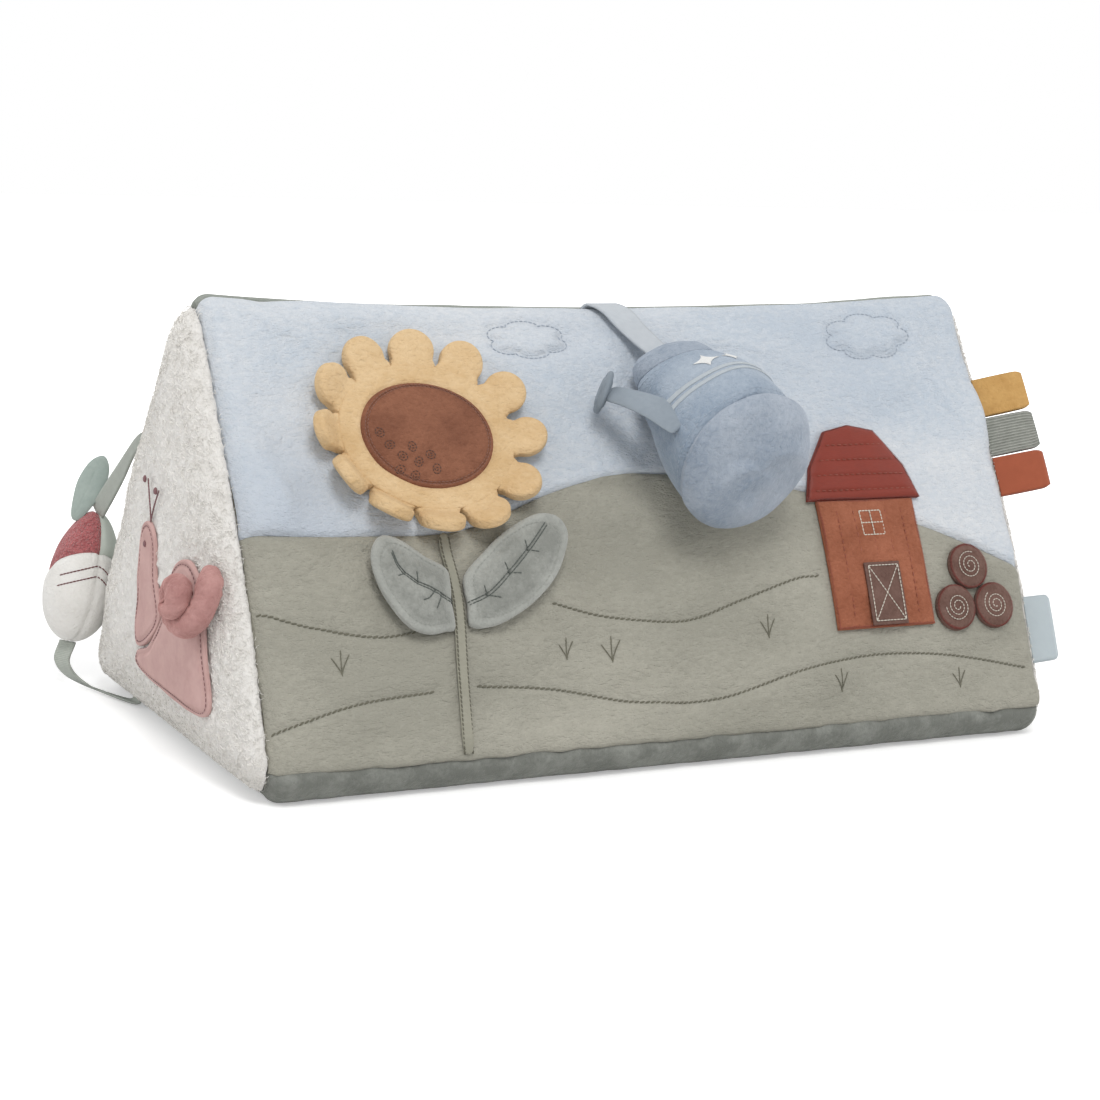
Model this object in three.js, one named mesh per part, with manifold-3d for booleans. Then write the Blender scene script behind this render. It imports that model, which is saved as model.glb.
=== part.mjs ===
// Soft activity triangle: a stuffed three-sided bolster for babies, lying on its base.
// A foam wedge wears a fabric cover of six panels. Flaps, tags, a plush watering can,
// a plush radish and appliqued pictures are sewn onto the cover and into its seams.
// Millimetres, +X along the ridge, +Y to the back, +Z up, origin at the middle of the base.

import * as THREE from 'three';
import { mergeVertices } from 'three/addons/utils/BufferGeometryUtils.js';
import Module from 'manifold-3d';

const wasm = await Module();
wasm.setup();

// Driving dimensions of the bolster

const length = 400;
const depth = 222;
const height = 203;
const ridgeRadius = 16;
const baseRadius = 15;
const edgeRadius = 7;
const ridgeSag = 6.5;
const faceCrown = 9;
const faceEndCrown = 7;
const crownSkew = 1.2;
const endCrown = 17;
const fabric = 2.5;
const pile = 5;
const seamRim = 2;
const gap = 0.3;
const padGap = 0.45;
const coreGap = 0.7;

// Pieces sewn to the front. x runs along the ridge and t down the slope from the ridge.

const flower = {
  x: -111.5, t: 78, discWidth: 63.5, discHeight: 51, turn: 8, discThick: 7.2, discCrown: 2.4,
  ringWidth: 9.5, ringThick: 6.8, petals: 12, petalLength: 16, petalThick: 6.8, petalCrown: 1.4,
  petalSideGap: 1.1, petalSpread: 0.9, firstAngle: -5,
};
const petalLeanDegrees = [22, 20, 16, 14, 18, 32, 44, 54, 56, 52, 40, 28];
const stem = { width: 5.5, thick: 2.2 };
const leaf = { thick: 6, crown: 2.2, lean: 7, rim: 1.6 };
const leftLeaf = { reach: 36, span: 44.4, t: 153 };
const rightLeaf = { reach: 51, span: 48, t: 155 };

const can = {
  neckX: 14, neckT: 38, neckRise: 10, footX: 25, footT: 104, footRise: 38,
  neckRadius: 8, shoulderRadius: 20, footRadius: 33.5, rest: 0.7,
  shoulderLength: 15, bandStart: 15, rattleBore: 13, domeBulge: 13,
};
const canRibbon = { x: -1, width: 16, thick: 1.2, rise: 0.6 };
const spout = { rootWidth: 15, tipWidth: 10.5, thick: 6.5, tipX: -23, tipT: 64, tipRise: 17 };
const rose = { width: 21, thick: 5 };
const canHandle = { span: 27, reach: 9, thick: 5 };
const rattle = { radius: 11.6 };

const barn = { x: 112, t: 128, wallWidth: 55, wallHeight: 62, roofHeight: 38, eaves: 5, thick: 2.6, crown: 1.6 };
const door = { width: 20, height: 30, thick: 1.2 };
const bale = { radius: 11, thick: 3, crown: 1.6, spacing: 22.8 };

const tag = { length: 23.5, thick: 3, width: 20, firstT: 52.5, pitch: 21 };
const label = { length: 11, thick: 1.3, width: 33, t: 166 };

// Pieces on the left end

const snail = { thick: 1.3, rise: 0.8, y: -23.5, z: 19, wide: 145, tall: 184 };
const coil = { y: -60, z: 80, tube: 4.1, tip: 2.1, reach: 12.8, core: 3, turns: 1.28, lift: 13.5 };
const coilSqueezeShare = 0.8;
const coilTaperShare = 0.7;

const radish = {
  x: -214.5, y: 108, z: 53, width: 33, deep: 34, tall: 65, tilt: 12,
  capZ: 8, capTilt: 16, seamTurn: 62, taper: 0.16,
};
const hangRibbon = { width: 10, thick: 1.2, rootZ: 128 };
const loopRibbon = { width: 9, thick: 1.2, rootY: 56, floor: 1.2 };
const radishLeaf = { length: 31, width: 16, thick: 2.4, around: 168, down: 33, stalk: 2 };

// Colours

const colours = {
  foam: 0xe9e4d4, sky: 0xc5ceda, hill: 0xb7b6a6, base: 0x8c908b, teddy: 0xdedbd5, back: 0xa9aea6,
  petal: 0xe3bf85, disc: 0x8a5a48, stem: 0x8f907c, leaf: 0xa5aaa2, can: 0xa9b6c5, band: 0x93a4b5,
  spout: 0xa3aeb8, ribbon: 0xa5b0b8, rust: 0xc0714f, red: 0x93351f, brown: 0x7b6059, pink: 0xc9a29d,
  white: 0xe3e0dc, terry: 0xbf6066, sage: 0xbfc7bc, leafBlue: 0xa9b5ad, yellow: 0xd9a865, rib: 0xa3a99c,
  tagRust: 0xa8583c, label: 0xcfdce2, plastic: 0xd8d4c8,
};

const group = new THREE.Group();

// Section of the bolster: an arc at the ridge, a straight slope, an arc at each base edge.
// a is the distance from the middle plane, and w the distance walked down from the ridge.

const ridgeCentreZ = height - ridgeRadius;
const baseCentreA = depth / 2 - baseRadius;
const centreRun = Math.hypot(baseCentreA, ridgeCentreZ - baseRadius);
const centreAngle = Math.atan2(ridgeCentreZ - baseRadius, -baseCentreA);
const slopeAngle = centreAngle - Math.acos((baseRadius - ridgeRadius) / centreRun);
const ridgeArc = ridgeRadius * (Math.PI / 2 - slopeAngle);
const straight = Math.sqrt(centreRun ** 2 - (baseRadius - ridgeRadius) ** 2);
const toeArc = baseRadius * slopeAngle;
const slopeLength = ridgeArc + straight + toeArc;
const heelArc = baseRadius * Math.PI / 2;
const baseHalf = heelArc + baseCentreA;

function section(w) {
  if (w < ridgeArc) {
    const angle = Math.PI / 2 - w / ridgeRadius;
    return arcPoint(0, ridgeCentreZ, ridgeRadius, angle);
  }
  if (w < ridgeArc + straight) {
    const start = arcPoint(0, ridgeCentreZ, ridgeRadius, slopeAngle);
    const down = w - ridgeArc;
    start.a += down * Math.sin(slopeAngle);
    start.z -= down * Math.cos(slopeAngle);
    return start;
  }
  const turned = (w - ridgeArc - straight) / baseRadius;
  if (w < slopeLength + heelArc) {
    return arcPoint(baseCentreA, baseRadius, baseRadius, slopeAngle - turned);
  }
  return { a: baseCentreA - (w - slopeLength - heelArc), z: 0, na: 0, nz: -1 };
}

function arcPoint(a, z, radius, angle) {
  const na = Math.cos(angle);
  const nz = Math.sin(angle);
  return { a: a + radius * na, z: z + radius * nz, na, nz };
}

// Softness: the faces crown, most of all below their middle, and the ridge sags.

function puff(x, w) {
  const along = Math.min(1, Math.abs(x) / (length / 2)) ** 3;
  const across = w < slopeLength ? Math.sin(Math.PI * (w / slopeLength) ** crownSkew) : 0;
  return (faceCrown * (1 - along) + faceEndCrown * along) * across;
}

function edgeDrop(x) {
  const inward = length / 2 - Math.abs(x);
  if (inward >= edgeRadius) return 0;
  return edgeRadius - Math.sqrt(edgeRadius ** 2 - (edgeRadius - Math.max(0, inward)) ** 2);
}

function sag(x, w) {
  const along = 1 - Math.min(1, Math.abs(x) / (length / 2)) ** 2.5;
  const near = Math.max(0, 1 - w / (slopeLength * 0.3));
  return ridgeSag * along * near ** 2 * (3 - 2 * near);
}

// A point of the cover. side is -1 on the front half and +1 on the back half.

function skin(side, x, w, h) {
  const s = section(w);
  const out = h + puff(x, w) - edgeDrop(x);
  return new THREE.Vector3(x, side * (s.a + out * s.na), s.z + out * s.nz - sag(x, w));
}

function front(x, t, h) {
  return skin(-1, x, t, h);
}

function frontFrame(x, t) {
  const origin = front(x, t, 0);
  const along = front(x + fabric, t, 0).sub(front(x - fabric, t, 0)).normalize();
  const down = front(x, t + fabric, 0).sub(front(x, t - fabric, 0)).normalize();
  const out = along.clone().cross(down).normalize();
  if (out.y > 0) out.negate();
  return { origin, along, down: out.clone().cross(along).multiplyScalar(-1), out };
}

// Meshes are rings of points joined side by side, closed by a fan or onto themselves.

function quadStrip(index, rings, a, b) {
  const n = rings[0].length;
  for (let i = 0; i < n; i += 1) {
    const j = (i + 1) % n;
    index.push(a * n + i, a * n + j, b * n + j, a * n + i, b * n + j, b * n + i);
  }
}

function middle(ring) {
  const sum = new THREE.Vector3();
  for (const p of ring) sum.add(p);
  return sum.divideScalar(ring.length);
}

function solidFrom(points, index) {
  const positions = new Float32Array(points.flatMap((p) => [p.x, p.y, p.z]));
  const geometry = new THREE.BufferGeometry();
  geometry.setAttribute('position', new THREE.BufferAttribute(positions, 3));
  geometry.setIndex(index);
  if (volumeOf(geometry) < 0) {
    const flipped = [];
    for (let i = 0; i < index.length; i += 3) flipped.push(index[i], index[i + 2], index[i + 1]);
    geometry.setIndex(flipped);
  }
  return geometry;
}

function volumeOf(geometry) {
  const p = geometry.attributes.position;
  const index = geometry.index;
  const [a, b, c] = [new THREE.Vector3(), new THREE.Vector3(), new THREE.Vector3()];
  let volume = 0;
  for (let i = 0; i < index.count; i += 3) {
    a.fromBufferAttribute(p, index.getX(i));
    b.fromBufferAttribute(p, index.getX(i + 1));
    c.fromBufferAttribute(p, index.getX(i + 2));
    volume += a.dot(b.cross(c)) / 6;
  }
  return volume;
}

function loft(rings, first, last) {
  const index = [];
  const n = rings[0].length;
  const points = rings.flat();
  for (let k = 0; k + 1 < rings.length; k += 1) quadStrip(index, rings, k, k + 1);
  points.push(first || middle(rings[0]), last || middle(rings[rings.length - 1]));
  const top = points.length - 1;
  const end = (rings.length - 1) * n;
  for (let i = 0; i < n; i += 1) {
    const j = (i + 1) % n;
    index.push(top - 1, j, i, top, end + i, end + j);
  }
  return solidFrom(points, index);
}

function loopLoft(rings) {
  const index = [];
  for (let k = 0; k < rings.length; k += 1) quadStrip(index, rings, k, (k + 1) % rings.length);
  return solidFrom(rings.flat(), index);
}

function grid(outer, inner) {
  const rows = outer.length;
  const cols = outer[0].length;
  const points = [...outer.flat(), ...inner.flat()];
  const under = rows * cols;
  const index = [];
  for (let i = 0; i + 1 < rows; i += 1) {
    for (let j = 0; j + 1 < cols; j += 1) {
      const p = i * cols + j;
      const q = p + cols;
      index.push(p, q, q + 1, p, q + 1, p + 1);
      index.push(under + p, under + q + 1, under + q, under + p, under + p + 1, under + q + 1);
    }
  }
  const rim = [];
  for (let j = 0; j < cols; j += 1) rim.push(j);
  for (let i = 1; i < rows; i += 1) rim.push(i * cols + cols - 1);
  for (let j = cols - 2; j >= 0; j -= 1) rim.push((rows - 1) * cols + j);
  for (let i = rows - 2; i > 0; i -= 1) rim.push(i * cols);
  for (let k = 0; k < rim.length; k += 1) {
    const p = rim[k];
    const q = rim[(k + 1) % rim.length];
    index.push(p, q, under + q, p, under + q, under + p);
  }
  return solidFrom(points, index);
}

function addPiece(name, geometry, colour, roughness, hinge) {
  const material = new THREE.MeshStandardMaterial({ color: colour, roughness, metalness: 0 });
  const mesh = new THREE.Mesh(geometry, material);
  mesh.name = name;
  mesh.userData.hinge = hinge || null;
  group.add(mesh);
  return mesh;
}

// Cut and joined solids

function manifoldOf(geometry) {
  const plain = geometry.clone();
  plain.deleteAttribute('normal');
  plain.deleteAttribute('uv');
  const merged = mergeVertices(plain);
  return new wasm.Manifold(new wasm.Mesh({
    numProp: 3,
    vertProperties: new Float32Array(merged.attributes.position.array),
    triVerts: new Uint32Array(merged.index.array),
  }));
}

function geometryOf(manifold) {
  const mesh = manifold.getMesh();
  const geometry = new THREE.BufferGeometry();
  geometry.setAttribute('position', new THREE.BufferAttribute(new Float32Array(mesh.vertProperties), 3));
  geometry.setIndex(new THREE.BufferAttribute(new Uint32Array(mesh.triVerts), 1));
  return geometry;
}

// Foam core and cover panels

const xShares = [-1, -0.9965, -0.987, -0.96, -0.86, -0.7, -0.5, -0.25, 0, 0.25, 0.5, 0.7, 0.86, 0.96, 0.987, 0.9965, 1];
const stationsX = xShares.map((share) => share * length / 2);
const faceShares = [0.12, 0.3, 0.5, 0.7, 0.88];

function slopeStations() {
  const ridge = [0, ridgeArc / 3, ridgeArc * 2 / 3, ridgeArc];
  const face = faceShares.map((share) => ridgeArc + share * straight);
  const toe = [ridgeArc + straight, ridgeArc + straight + toeArc / 2, slopeLength];
  return [...ridge, ...face, ...toe];
}

function heelStations() {
  return [1, 2, 3, 4].map((k) => slopeLength + heelArc * k / 4);
}

const slopeWalk = slopeStations();
const heelWalk = heelStations();
const bottomWalk = [...heelWalk, slopeLength + baseHalf];
const ringWalk = [
  ...slopeWalk.map((w) => ({ side: -1, w })),
  ...bottomWalk.map((w) => ({ side: -1, w })),
  ...heelWalk.slice().reverse().map((w) => ({ side: 1, w })),
  ...slopeWalk.slice(1).reverse().map((w) => ({ side: 1, w })),
];

function ringAt(x, h) {
  return ringWalk.map(({ side, w }) => skin(side, x, w, h));
}

const endCentre = new THREE.Vector3(0, 0, height * 0.34);
const endShares = [0.25, 0.45, 0.62, 0.76, 0.87, 0.94, 0.98, 1];
const innerShare = 0.87;
const outerRing = ringAt(length / 2, 0);
const coreInset = fabric + coreGap;

function domeShape(share) {
  return (1 - Math.min(1, share) ** 3) ** 0.5;
}

function endPoint(side, k, share, x) {
  const p = outerRing[k].clone().sub(endCentre).multiplyScalar(share).add(endCentre);
  p.x = side * x;
  return p;
}

function endRing(side, share, x) {
  return outerRing.map((p, k) => endPoint(side, k, share, x));
}

function outerEndX(share) {
  return length / 2 + seamRim + (endCrown - seamRim) * domeShape(share);
}

function innerEndX(share) {
  return length / 2 + gap + (endCrown - pile) * domeShape(share / innerShare);
}

function foamCore() {
  const capShares = endShares.filter((share) => share <= innerShare);
  const cap = (side) => capShares.map((share) => endRing(side, share, innerEndX(share) - gap));
  const body = stationsX.map((x) => ringAt(x, -coreInset));
  const tip = (side) => new THREE.Vector3(side * (innerEndX(0) - gap), endCentre.y, endCentre.z);
  return loft([...cap(-1), ...body, ...cap(1).reverse()], tip(-1), tip(1));
}

function endPanel(side) {
  const inner = endShares.map((share) => endRing(side, share, innerEndX(share)));
  const outer = endShares.map((share) => endRing(side, share, outerEndX(share)));
  const tip = (x) => new THREE.Vector3(side * x, endCentre.y, endCentre.z);
  return loft([...inner, ...outer.reverse()], tip(innerEndX(0)), tip(outerEndX(0)));
}

function facePanel(side, walkAt) {
  const rows = (h) => stationsX.map((x) => walkAt(x).map((w) => skin(side, x, w, h)));
  return grid(rows(0), rows(-fabric));
}

function basePanel() {
  const start = slopeLength + gap;
  const walk = [
    { side: -1, w: start }, ...heelWalk.map((w) => ({ side: -1, w })),
    ...heelWalk.slice().reverse().map((w) => ({ side: 1, w })), { side: 1, w: start },
  ];
  const rows = (h) => stationsX.map((x) => walk.map(({ side, w }) => skin(side, x, w, h)));
  return grid(rows(0), rows(-fabric));
}

// The seam between sky and hills, as shares of the slope from end to end
const horizonShares = [
  [-1, 0.533], [-0.75, 0.546], [-0.5, 0.545], [-0.24, 0.469], [0, 0.442], [0.36, 0.485], [0.7, 0.575], [1, 0.69],
];
const horizon = new THREE.CatmullRomCurve3(
  horizonShares.map(([along, down]) => new THREE.Vector3(along * length / 2, down * slopeLength, 0)),
  false, 'catmullrom', 0.5,
);
const horizonPoints = horizon.getPoints(60);

function horizonT(x) {
  let k = 0;
  while (k < horizonPoints.length - 2 && horizonPoints[k + 1].x < x) k += 1;
  const [p, q] = [horizonPoints[k], horizonPoints[k + 1]];
  return THREE.MathUtils.lerp(p.y, q.y, THREE.MathUtils.clamp((x - p.x) / (q.x - p.x), 0, 1));
}

const ridgeWalk = [gap / 2, ridgeArc / 3, ridgeArc * 2 / 3, ridgeArc];
const toeWalk = [ridgeArc + straight, ridgeArc + straight + toeArc / 2, slopeLength];
const skyShares = [0.25, 0.5, 0.75];
const hillShares = [0.25, 0.5, 0.75];

function skyWalk(x) {
  const edge = horizonT(x) - gap / 2;
  return [...ridgeWalk, ...skyShares.map((share) => THREE.MathUtils.lerp(ridgeArc, edge, share)), edge];
}

function hillWalk(x) {
  const edge = horizonT(x) + gap / 2;
  return [edge, ...hillShares.map((share) => THREE.MathUtils.lerp(edge, toeWalk[0], share)), ...toeWalk];
}

function backWalk() {
  return [gap / 2, ...slopeWalk.slice(1)].reverse();
}

addPiece('foam_core', foamCore(), colours.foam, 0.9);
addPiece('front_sky_panel', facePanel(-1, skyWalk), colours.sky, 0.85);
addPiece('front_hill_panel', facePanel(-1, hillWalk), colours.hill, 0.85);
addPiece('back_panel', facePanel(1, backWalk), colours.back, 0.85);
addPiece('base_panel', basePanel(), colours.base, 0.9);
addPiece('left_end_panel', endPanel(-1), colours.teddy, 0.95);
addPiece('right_end_panel', endPanel(1), colours.teddy, 0.95);

// Padded pieces: an outline round a middle point, with a flat underside and a crowned top.
// place(u, v, h) puts a local point into the model.

function pad(outline, shape, place, shares = [0.5, 0.85, 1]) {
  const { base, thick, crown, round } = shape;
  const centre = outline.reduce((s, p) => s.add(p), new THREE.Vector2()).divideScalar(outline.length);
  const at = (p, share, h) => {
    const q = p.clone().sub(centre).multiplyScalar(share).add(centre);
    return place(q.x, q.y, h);
  };
  const under = shares.map((share) => outline.map((p) => at(p, share, base)));
  const topH = (share) => base + thick + crown * (1 - share ** 2) - (share === 1 ? round : 0);
  const over = shares.map((share) => outline.map((p) => at(p, share, topH(share))));
  const middleAt = (h) => place(centre.x, centre.y, h);
  return loft([...under, ...over.reverse()], middleAt(base), middleAt(topH(0)));
}

function oval(width, tall, turnDegrees, count, x = 0, y = 0) {
  const turn = THREE.MathUtils.degToRad(turnDegrees);
  const points = [];
  for (let k = 0; k < count; k += 1) {
    const angle = Math.PI * 2 * k / count;
    const p = new THREE.Vector2(Math.cos(angle) * width / 2, Math.sin(angle) * tall / 2);
    points.push(p.rotateAround(new THREE.Vector2(), turn).add(new THREE.Vector2(x, y)));
  }
  return points;
}

function smoothOutline(shares, width, tall, count) {
  const curve = new THREE.CatmullRomCurve3(
    shares.map(([u, v]) => new THREE.Vector3(u * width, v * tall, 0)), true, 'catmullrom', 0.5,
  );
  return curve.getSpacedPoints(count).slice(0, count).map((p) => new THREE.Vector2(p.x, p.y));
}

// Sunflower: a brown disc inside a ring of yellow plush, with hinged lobes as petals

const discOutline = oval(flower.discWidth, flower.discHeight, flower.turn, 24, flower.x, flower.t);
const discShape = { base: padGap, thick: flower.discThick, crown: flower.discCrown, round: 0.9 * fabric };

function flowerRing() {
  const inner = { width: flower.discWidth + 2 * gap, tall: flower.discHeight + 2 * gap };
  const grow = 2 * flower.ringWidth;
  const at = (extra, h) => oval(
    inner.width + extra, inner.tall + extra, flower.turn, 24, flower.x, flower.t,
  ).map((p) => front(p.x, p.y, h));
  const top = padGap + flower.ringThick;
  const soft = flower.petalCrown;
  return loopLoft([
    at(0, padGap), at(grow, padGap), at(grow, top - soft), at(grow / 2, top), at(0, top - soft),
  ]);
}

function petalFrame(k) {
  const angle = THREE.MathUtils.degToRad(flower.firstAngle - 360 * k / flower.petals);
  const turn = THREE.MathUtils.degToRad(flower.turn);
  const a = flower.discWidth / 2 + gap + flower.ringWidth;
  const b = flower.discHeight / 2 + gap + flower.ringWidth;
  const edge = (beta) => new THREE.Vector2(Math.cos(beta) * a, Math.sin(beta) * b);
  const normal = (beta) => new THREE.Vector2(Math.cos(beta) * b, Math.sin(beta) * a).normalize();
  const step = Math.PI / flower.petals;
  const half = edge(angle - step).distanceTo(edge(angle + step)) / 2;
  const chordMid = edge(angle - step).add(edge(angle + step)).multiplyScalar(0.5);
  const out = normal(angle);
  const rise = edge(angle).sub(chordMid).dot(out);
  const root = chordMid.clone().add(out.clone().multiplyScalar(rise + gap));
  const fan = Math.acos(THREE.MathUtils.clamp(normal(angle - step).dot(normal(angle + step)), -1, 1)) / 2;
  root.rotateAround(new THREE.Vector2(), turn).add(new THREE.Vector2(flower.x, flower.t));
  out.rotateAround(new THREE.Vector2(), turn);
  return { root, out, half: half - flower.petalSideGap / 2, fan };
}

function petalOutline(half, fan) {
  const long = flower.petalLength;
  const wide = half + Math.min(flower.petalSpread, 0.45 * long * Math.tan(fan));
  const points = [[0, -half], [0, 0], [0, half], [0.3 * long, wide]];
  const arc = 6;
  const tipStart = 0.5 * long;
  for (let k = 0; k <= arc; k += 1) {
    const angle = Math.PI / 2 - Math.PI * k / arc;
    points.push([tipStart + (long - tipStart) * Math.cos(angle), wide * Math.sin(angle)]);
  }
  points.push([0.3 * long, -wide]);
  return points.map(([u, v]) => new THREE.Vector2(u, v));
}

function addPetal(k) {
  const { root, out, half, fan } = petalFrame(k);
  const frame = frontFrame(root.x, root.y);
  const lean = THREE.MathUtils.degToRad(petalLeanDegrees[k % petalLeanDegrees.length]);
  const outward = frame.along.clone().multiplyScalar(out.x).addScaledVector(frame.down, out.y).normalize();
  const side = frame.out.clone().cross(outward).normalize();
  const top = padGap + flower.petalThick - flower.petalCrown;
  const pivot = frame.origin.clone().addScaledVector(frame.out, top);
  const reach = outward.clone().multiplyScalar(Math.cos(lean)).addScaledVector(frame.out, Math.sin(lean));
  const up = frame.out.clone().multiplyScalar(Math.cos(lean)).addScaledVector(outward, -Math.sin(lean));
  const place = (u, v, h) => pivot.clone().addScaledVector(reach, u).addScaledVector(side, v).addScaledVector(up, h - top);
  const shape = { base: padGap, thick: flower.petalThick, crown: 0, round: flower.petalCrown };
  const axis = outward.clone().cross(frame.out).normalize();
  const hinge = { pivot, axis, lean: petalLeanDegrees[k % petalLeanDegrees.length] };
  const geometry = pad(petalOutline(half, fan), shape, place, [0.7, 1]);
  addPiece(`petal_${k + 1}`, geometry, colours.petal, 0.9, hinge);
}

addPiece('flower_disc', pad(discOutline, discShape, front), colours.disc, 0.85);
addPiece('flower_ring', flowerRing(), colours.petal, 0.9);
for (let k = 0; k < flower.petals; k += 1) addPetal(k);

// Stem: a narrow raised band from the flower down to the base seam

const flowerBottom = flower.t + flower.discHeight / 2 + flower.ringWidth + flower.petalLength;
const stemShares = [[-0.01, 0], [0, 0.25], [-0.01, 0.6], [-0.018, 1]];
const stemPath = new THREE.CatmullRomCurve3(stemShares.map(([along, down]) => new THREE.Vector3(
  flower.x + along * length / 2 + stem.width / 2,
  THREE.MathUtils.lerp(flowerBottom + 4 * gap, slopeLength - stem.width / 2, down), 0,
)));

function stemX(t) {
  const share = THREE.MathUtils.clamp((t - flowerBottom) / (slopeLength - flowerBottom), 0, 1);
  return stemPath.getPoint(share).x;
}

function stemBand() {
  const rings = stemPath.getPoints(14).map((p) => {
    const half = stem.width / 2;
    const low = padGap;
    const high = padGap + stem.thick;
    return [
      front(p.x - half, p.y, low), front(p.x + half, p.y, low),
      front(p.x + half, p.y, high - gap), front(p.x, p.y, high), front(p.x - half, p.y, high - gap),
    ];
  });
  return loft(rings);
}

addPiece('stem_band', stemBand(), colours.stem, 0.85);

// Leaves: padded flaps sewn under the stem, free on the other sides

const leftLeafShares = [
  [0, -0.3], [0.3, -0.46], [0.62, -0.63], [0.86, -0.66], [1, -0.48], [0.97, -0.22], [0.84, 0.02],
  [0.62, 0.24], [0.36, 0.32], [0.12, 0.3], [0, 0.27], [0, 0],
];
const rightLeafShares = [
  [0, -0.25], [0.2, -0.46], [0.44, -0.65], [0.72, -0.78], [0.92, -0.75], [1, -0.6], [0.96, -0.42],
  [0.84, -0.2], [0.64, 0], [0.42, 0.14], [0.2, 0.22], [0, 0.2], [0, 0],
];

function addLeaf(name, side, spec, shares) {
  const t = spec.t;
  const clear = stem.width / 2 + gap;
  const frame = frontFrame(stemX(t) + side * clear, t);
  const lean = THREE.MathUtils.degToRad(leaf.lean);
  const outward = frame.along.clone().multiplyScalar(side);
  const top = padGap + leaf.thick;
  const slip = Math.abs(stemX(t - spec.span / 3) - stemX(t + spec.span / 3)) / 2;
  const pivot = frame.origin.clone().addScaledVector(frame.out, top).addScaledVector(outward, slip);
  const reach = outward.clone().multiplyScalar(Math.cos(lean)).addScaledVector(frame.out, Math.sin(lean));
  const up = frame.out.clone().multiplyScalar(Math.cos(lean)).addScaledVector(outward, -Math.sin(lean));
  const place = (u, v, h) => pivot.clone().addScaledVector(reach, u).addScaledVector(frame.down, v)
    .addScaledVector(up, h - top);
  const outline = smoothOutline(shares, spec.reach, spec.span, 22).map((p) => new THREE.Vector2(Math.max(0, p.x), p.y));
  const shape = { base: padGap, thick: leaf.thick - leaf.crown, crown: leaf.crown, round: leaf.rim };
  const axis = outward.clone().cross(frame.out).normalize();
  addPiece(name, pad(outline, shape, place), colours.leaf, 0.85, { pivot, axis, lean: leaf.lean });
}

addLeaf('leaf_left', -1, leftLeaf, leftLeafShares);
addLeaf('leaf_right', 1, rightLeaf, rightLeafShares);

// Watering can: a stuffed can of plush on a ribbon from the ridge seam, lying on the slope.
// Its rings turn outwards from the neck to the foot, so that the round bottom looks out.

const heading = new THREE.Vector2(can.footX - can.neckX, can.footT - can.neckT);
const canLength = heading.length();
heading.normalize();
const across = new THREE.Vector2(heading.y, -heading.x);
const canSides = 18;
const canTurnDegrees = { neck: 6, foot: 40 };

function canAxis(run) {
  const share = run / canLength;
  const rise = THREE.MathUtils.lerp(can.neckRise, can.footRise, Math.min(1, share));
  const degrees = THREE.MathUtils.lerp(canTurnDegrees.neck, canTurnDegrees.foot, THREE.MathUtils.clamp(share, 0, 1) ** 1.3);
  return { x: can.neckX + heading.x * run, t: can.neckT + heading.y * run, rise, turn: THREE.MathUtils.degToRad(degrees) };
}

function canPoint(run, radius, angle, push) {
  const c = canAxis(run);
  const u = radius * Math.cos(angle);
  const v = radius * Math.sin(angle);
  const ahead = push * Math.cos(c.turn) - v * Math.sin(c.turn);
  const rise = c.rise + v * Math.cos(c.turn) + push * Math.sin(c.turn);
  const x = c.x + across.x * u + heading.x * ahead;
  const t = c.t + across.y * u + heading.y * ahead;
  return front(x, t, Math.max(can.rest, rise));
}

function canRing(run, radius, push = 0) {
  const ring = [];
  for (let k = 0; k < canSides; k += 1) ring.push(canPoint(run, radius, Math.PI * 2 * k / canSides, push));
  return ring;
}

function canWall(run) {
  const share = THREE.MathUtils.clamp((run - can.bandStart) / (canLength - can.bandStart), 0, 1);
  return THREE.MathUtils.lerp(can.shoulderRadius, can.footRadius, share ** 0.8);
}

function canShoulder() {
  const end = can.shoulderLength;
  const steps = [0, 0.12, 0.35, 0.65, 1];
  const radius = (share) => can.neckRadius + (can.shoulderRadius - can.neckRadius) * Math.sin(share * Math.PI / 2);
  const rings = steps.map((share) => canRing(share * end, share === 0 ? can.neckRadius * 0.7 : radius(share)));
  return loft([...rings, canRing(end, can.rattleBore)], canPoint(0, 0, 0, 0), canPoint(end, 0, 0, 0));
}

function canBand() {
  const steps = [0, 0.25, 0.5, 0.75, 1];
  const runs = steps.map((share) => THREE.MathUtils.lerp(can.bandStart, canLength, share));
  const push = (run) => (run === can.bandStart ? gap : 0);
  const outer = runs.map((run) => canRing(run, canWall(run), push(run)));
  const inner = runs.slice().reverse().map((run) => canRing(run, can.rattleBore, push(run)));
  return loopLoft([...inner.reverse(), ...outer.reverse()]);
}

function canBottom() {
  const shares = [1, 0.93, 0.78, 0.55, 0.28];
  const dome = (share) => gap + seamRim + (can.domeBulge - seamRim) * Math.sqrt(1 - share ** 2.4);
  const over = shares.map((share) => canRing(canLength, can.footRadius * share, dome(share)));
  const under = [canRing(canLength, can.rattleBore, gap), canRing(canLength, can.footRadius, gap)];
  return loft([...under, ...over], canPoint(canLength, 0, 0, gap), canPoint(canLength, 0, 0, dome(0)));
}

// The bore that holds the rattle is wholly inside the fabric, so its rings stay round
function rattleBall() {
  const ball = new THREE.SphereGeometry(rattle.radius, 12, 8);
  const run = canLength * 0.62;
  const centre = canPoint(run, 0, 0, 0);
  ball.translate(centre.x, centre.y, centre.z);
  return ball;
}

function sweepStrip(path, wide, flat) {
  return path.map((p, k) => {
    const w = wide(k);
    const f = flat(k);
    return [
      p.clone().add(w).add(f), p.clone().sub(w).add(f), p.clone().sub(w).sub(f), p.clone().add(w).sub(f),
    ];
  });
}

const canRibbonShares = [0, 0.18, 0.4, 0.62, 0.82, 1];

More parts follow.
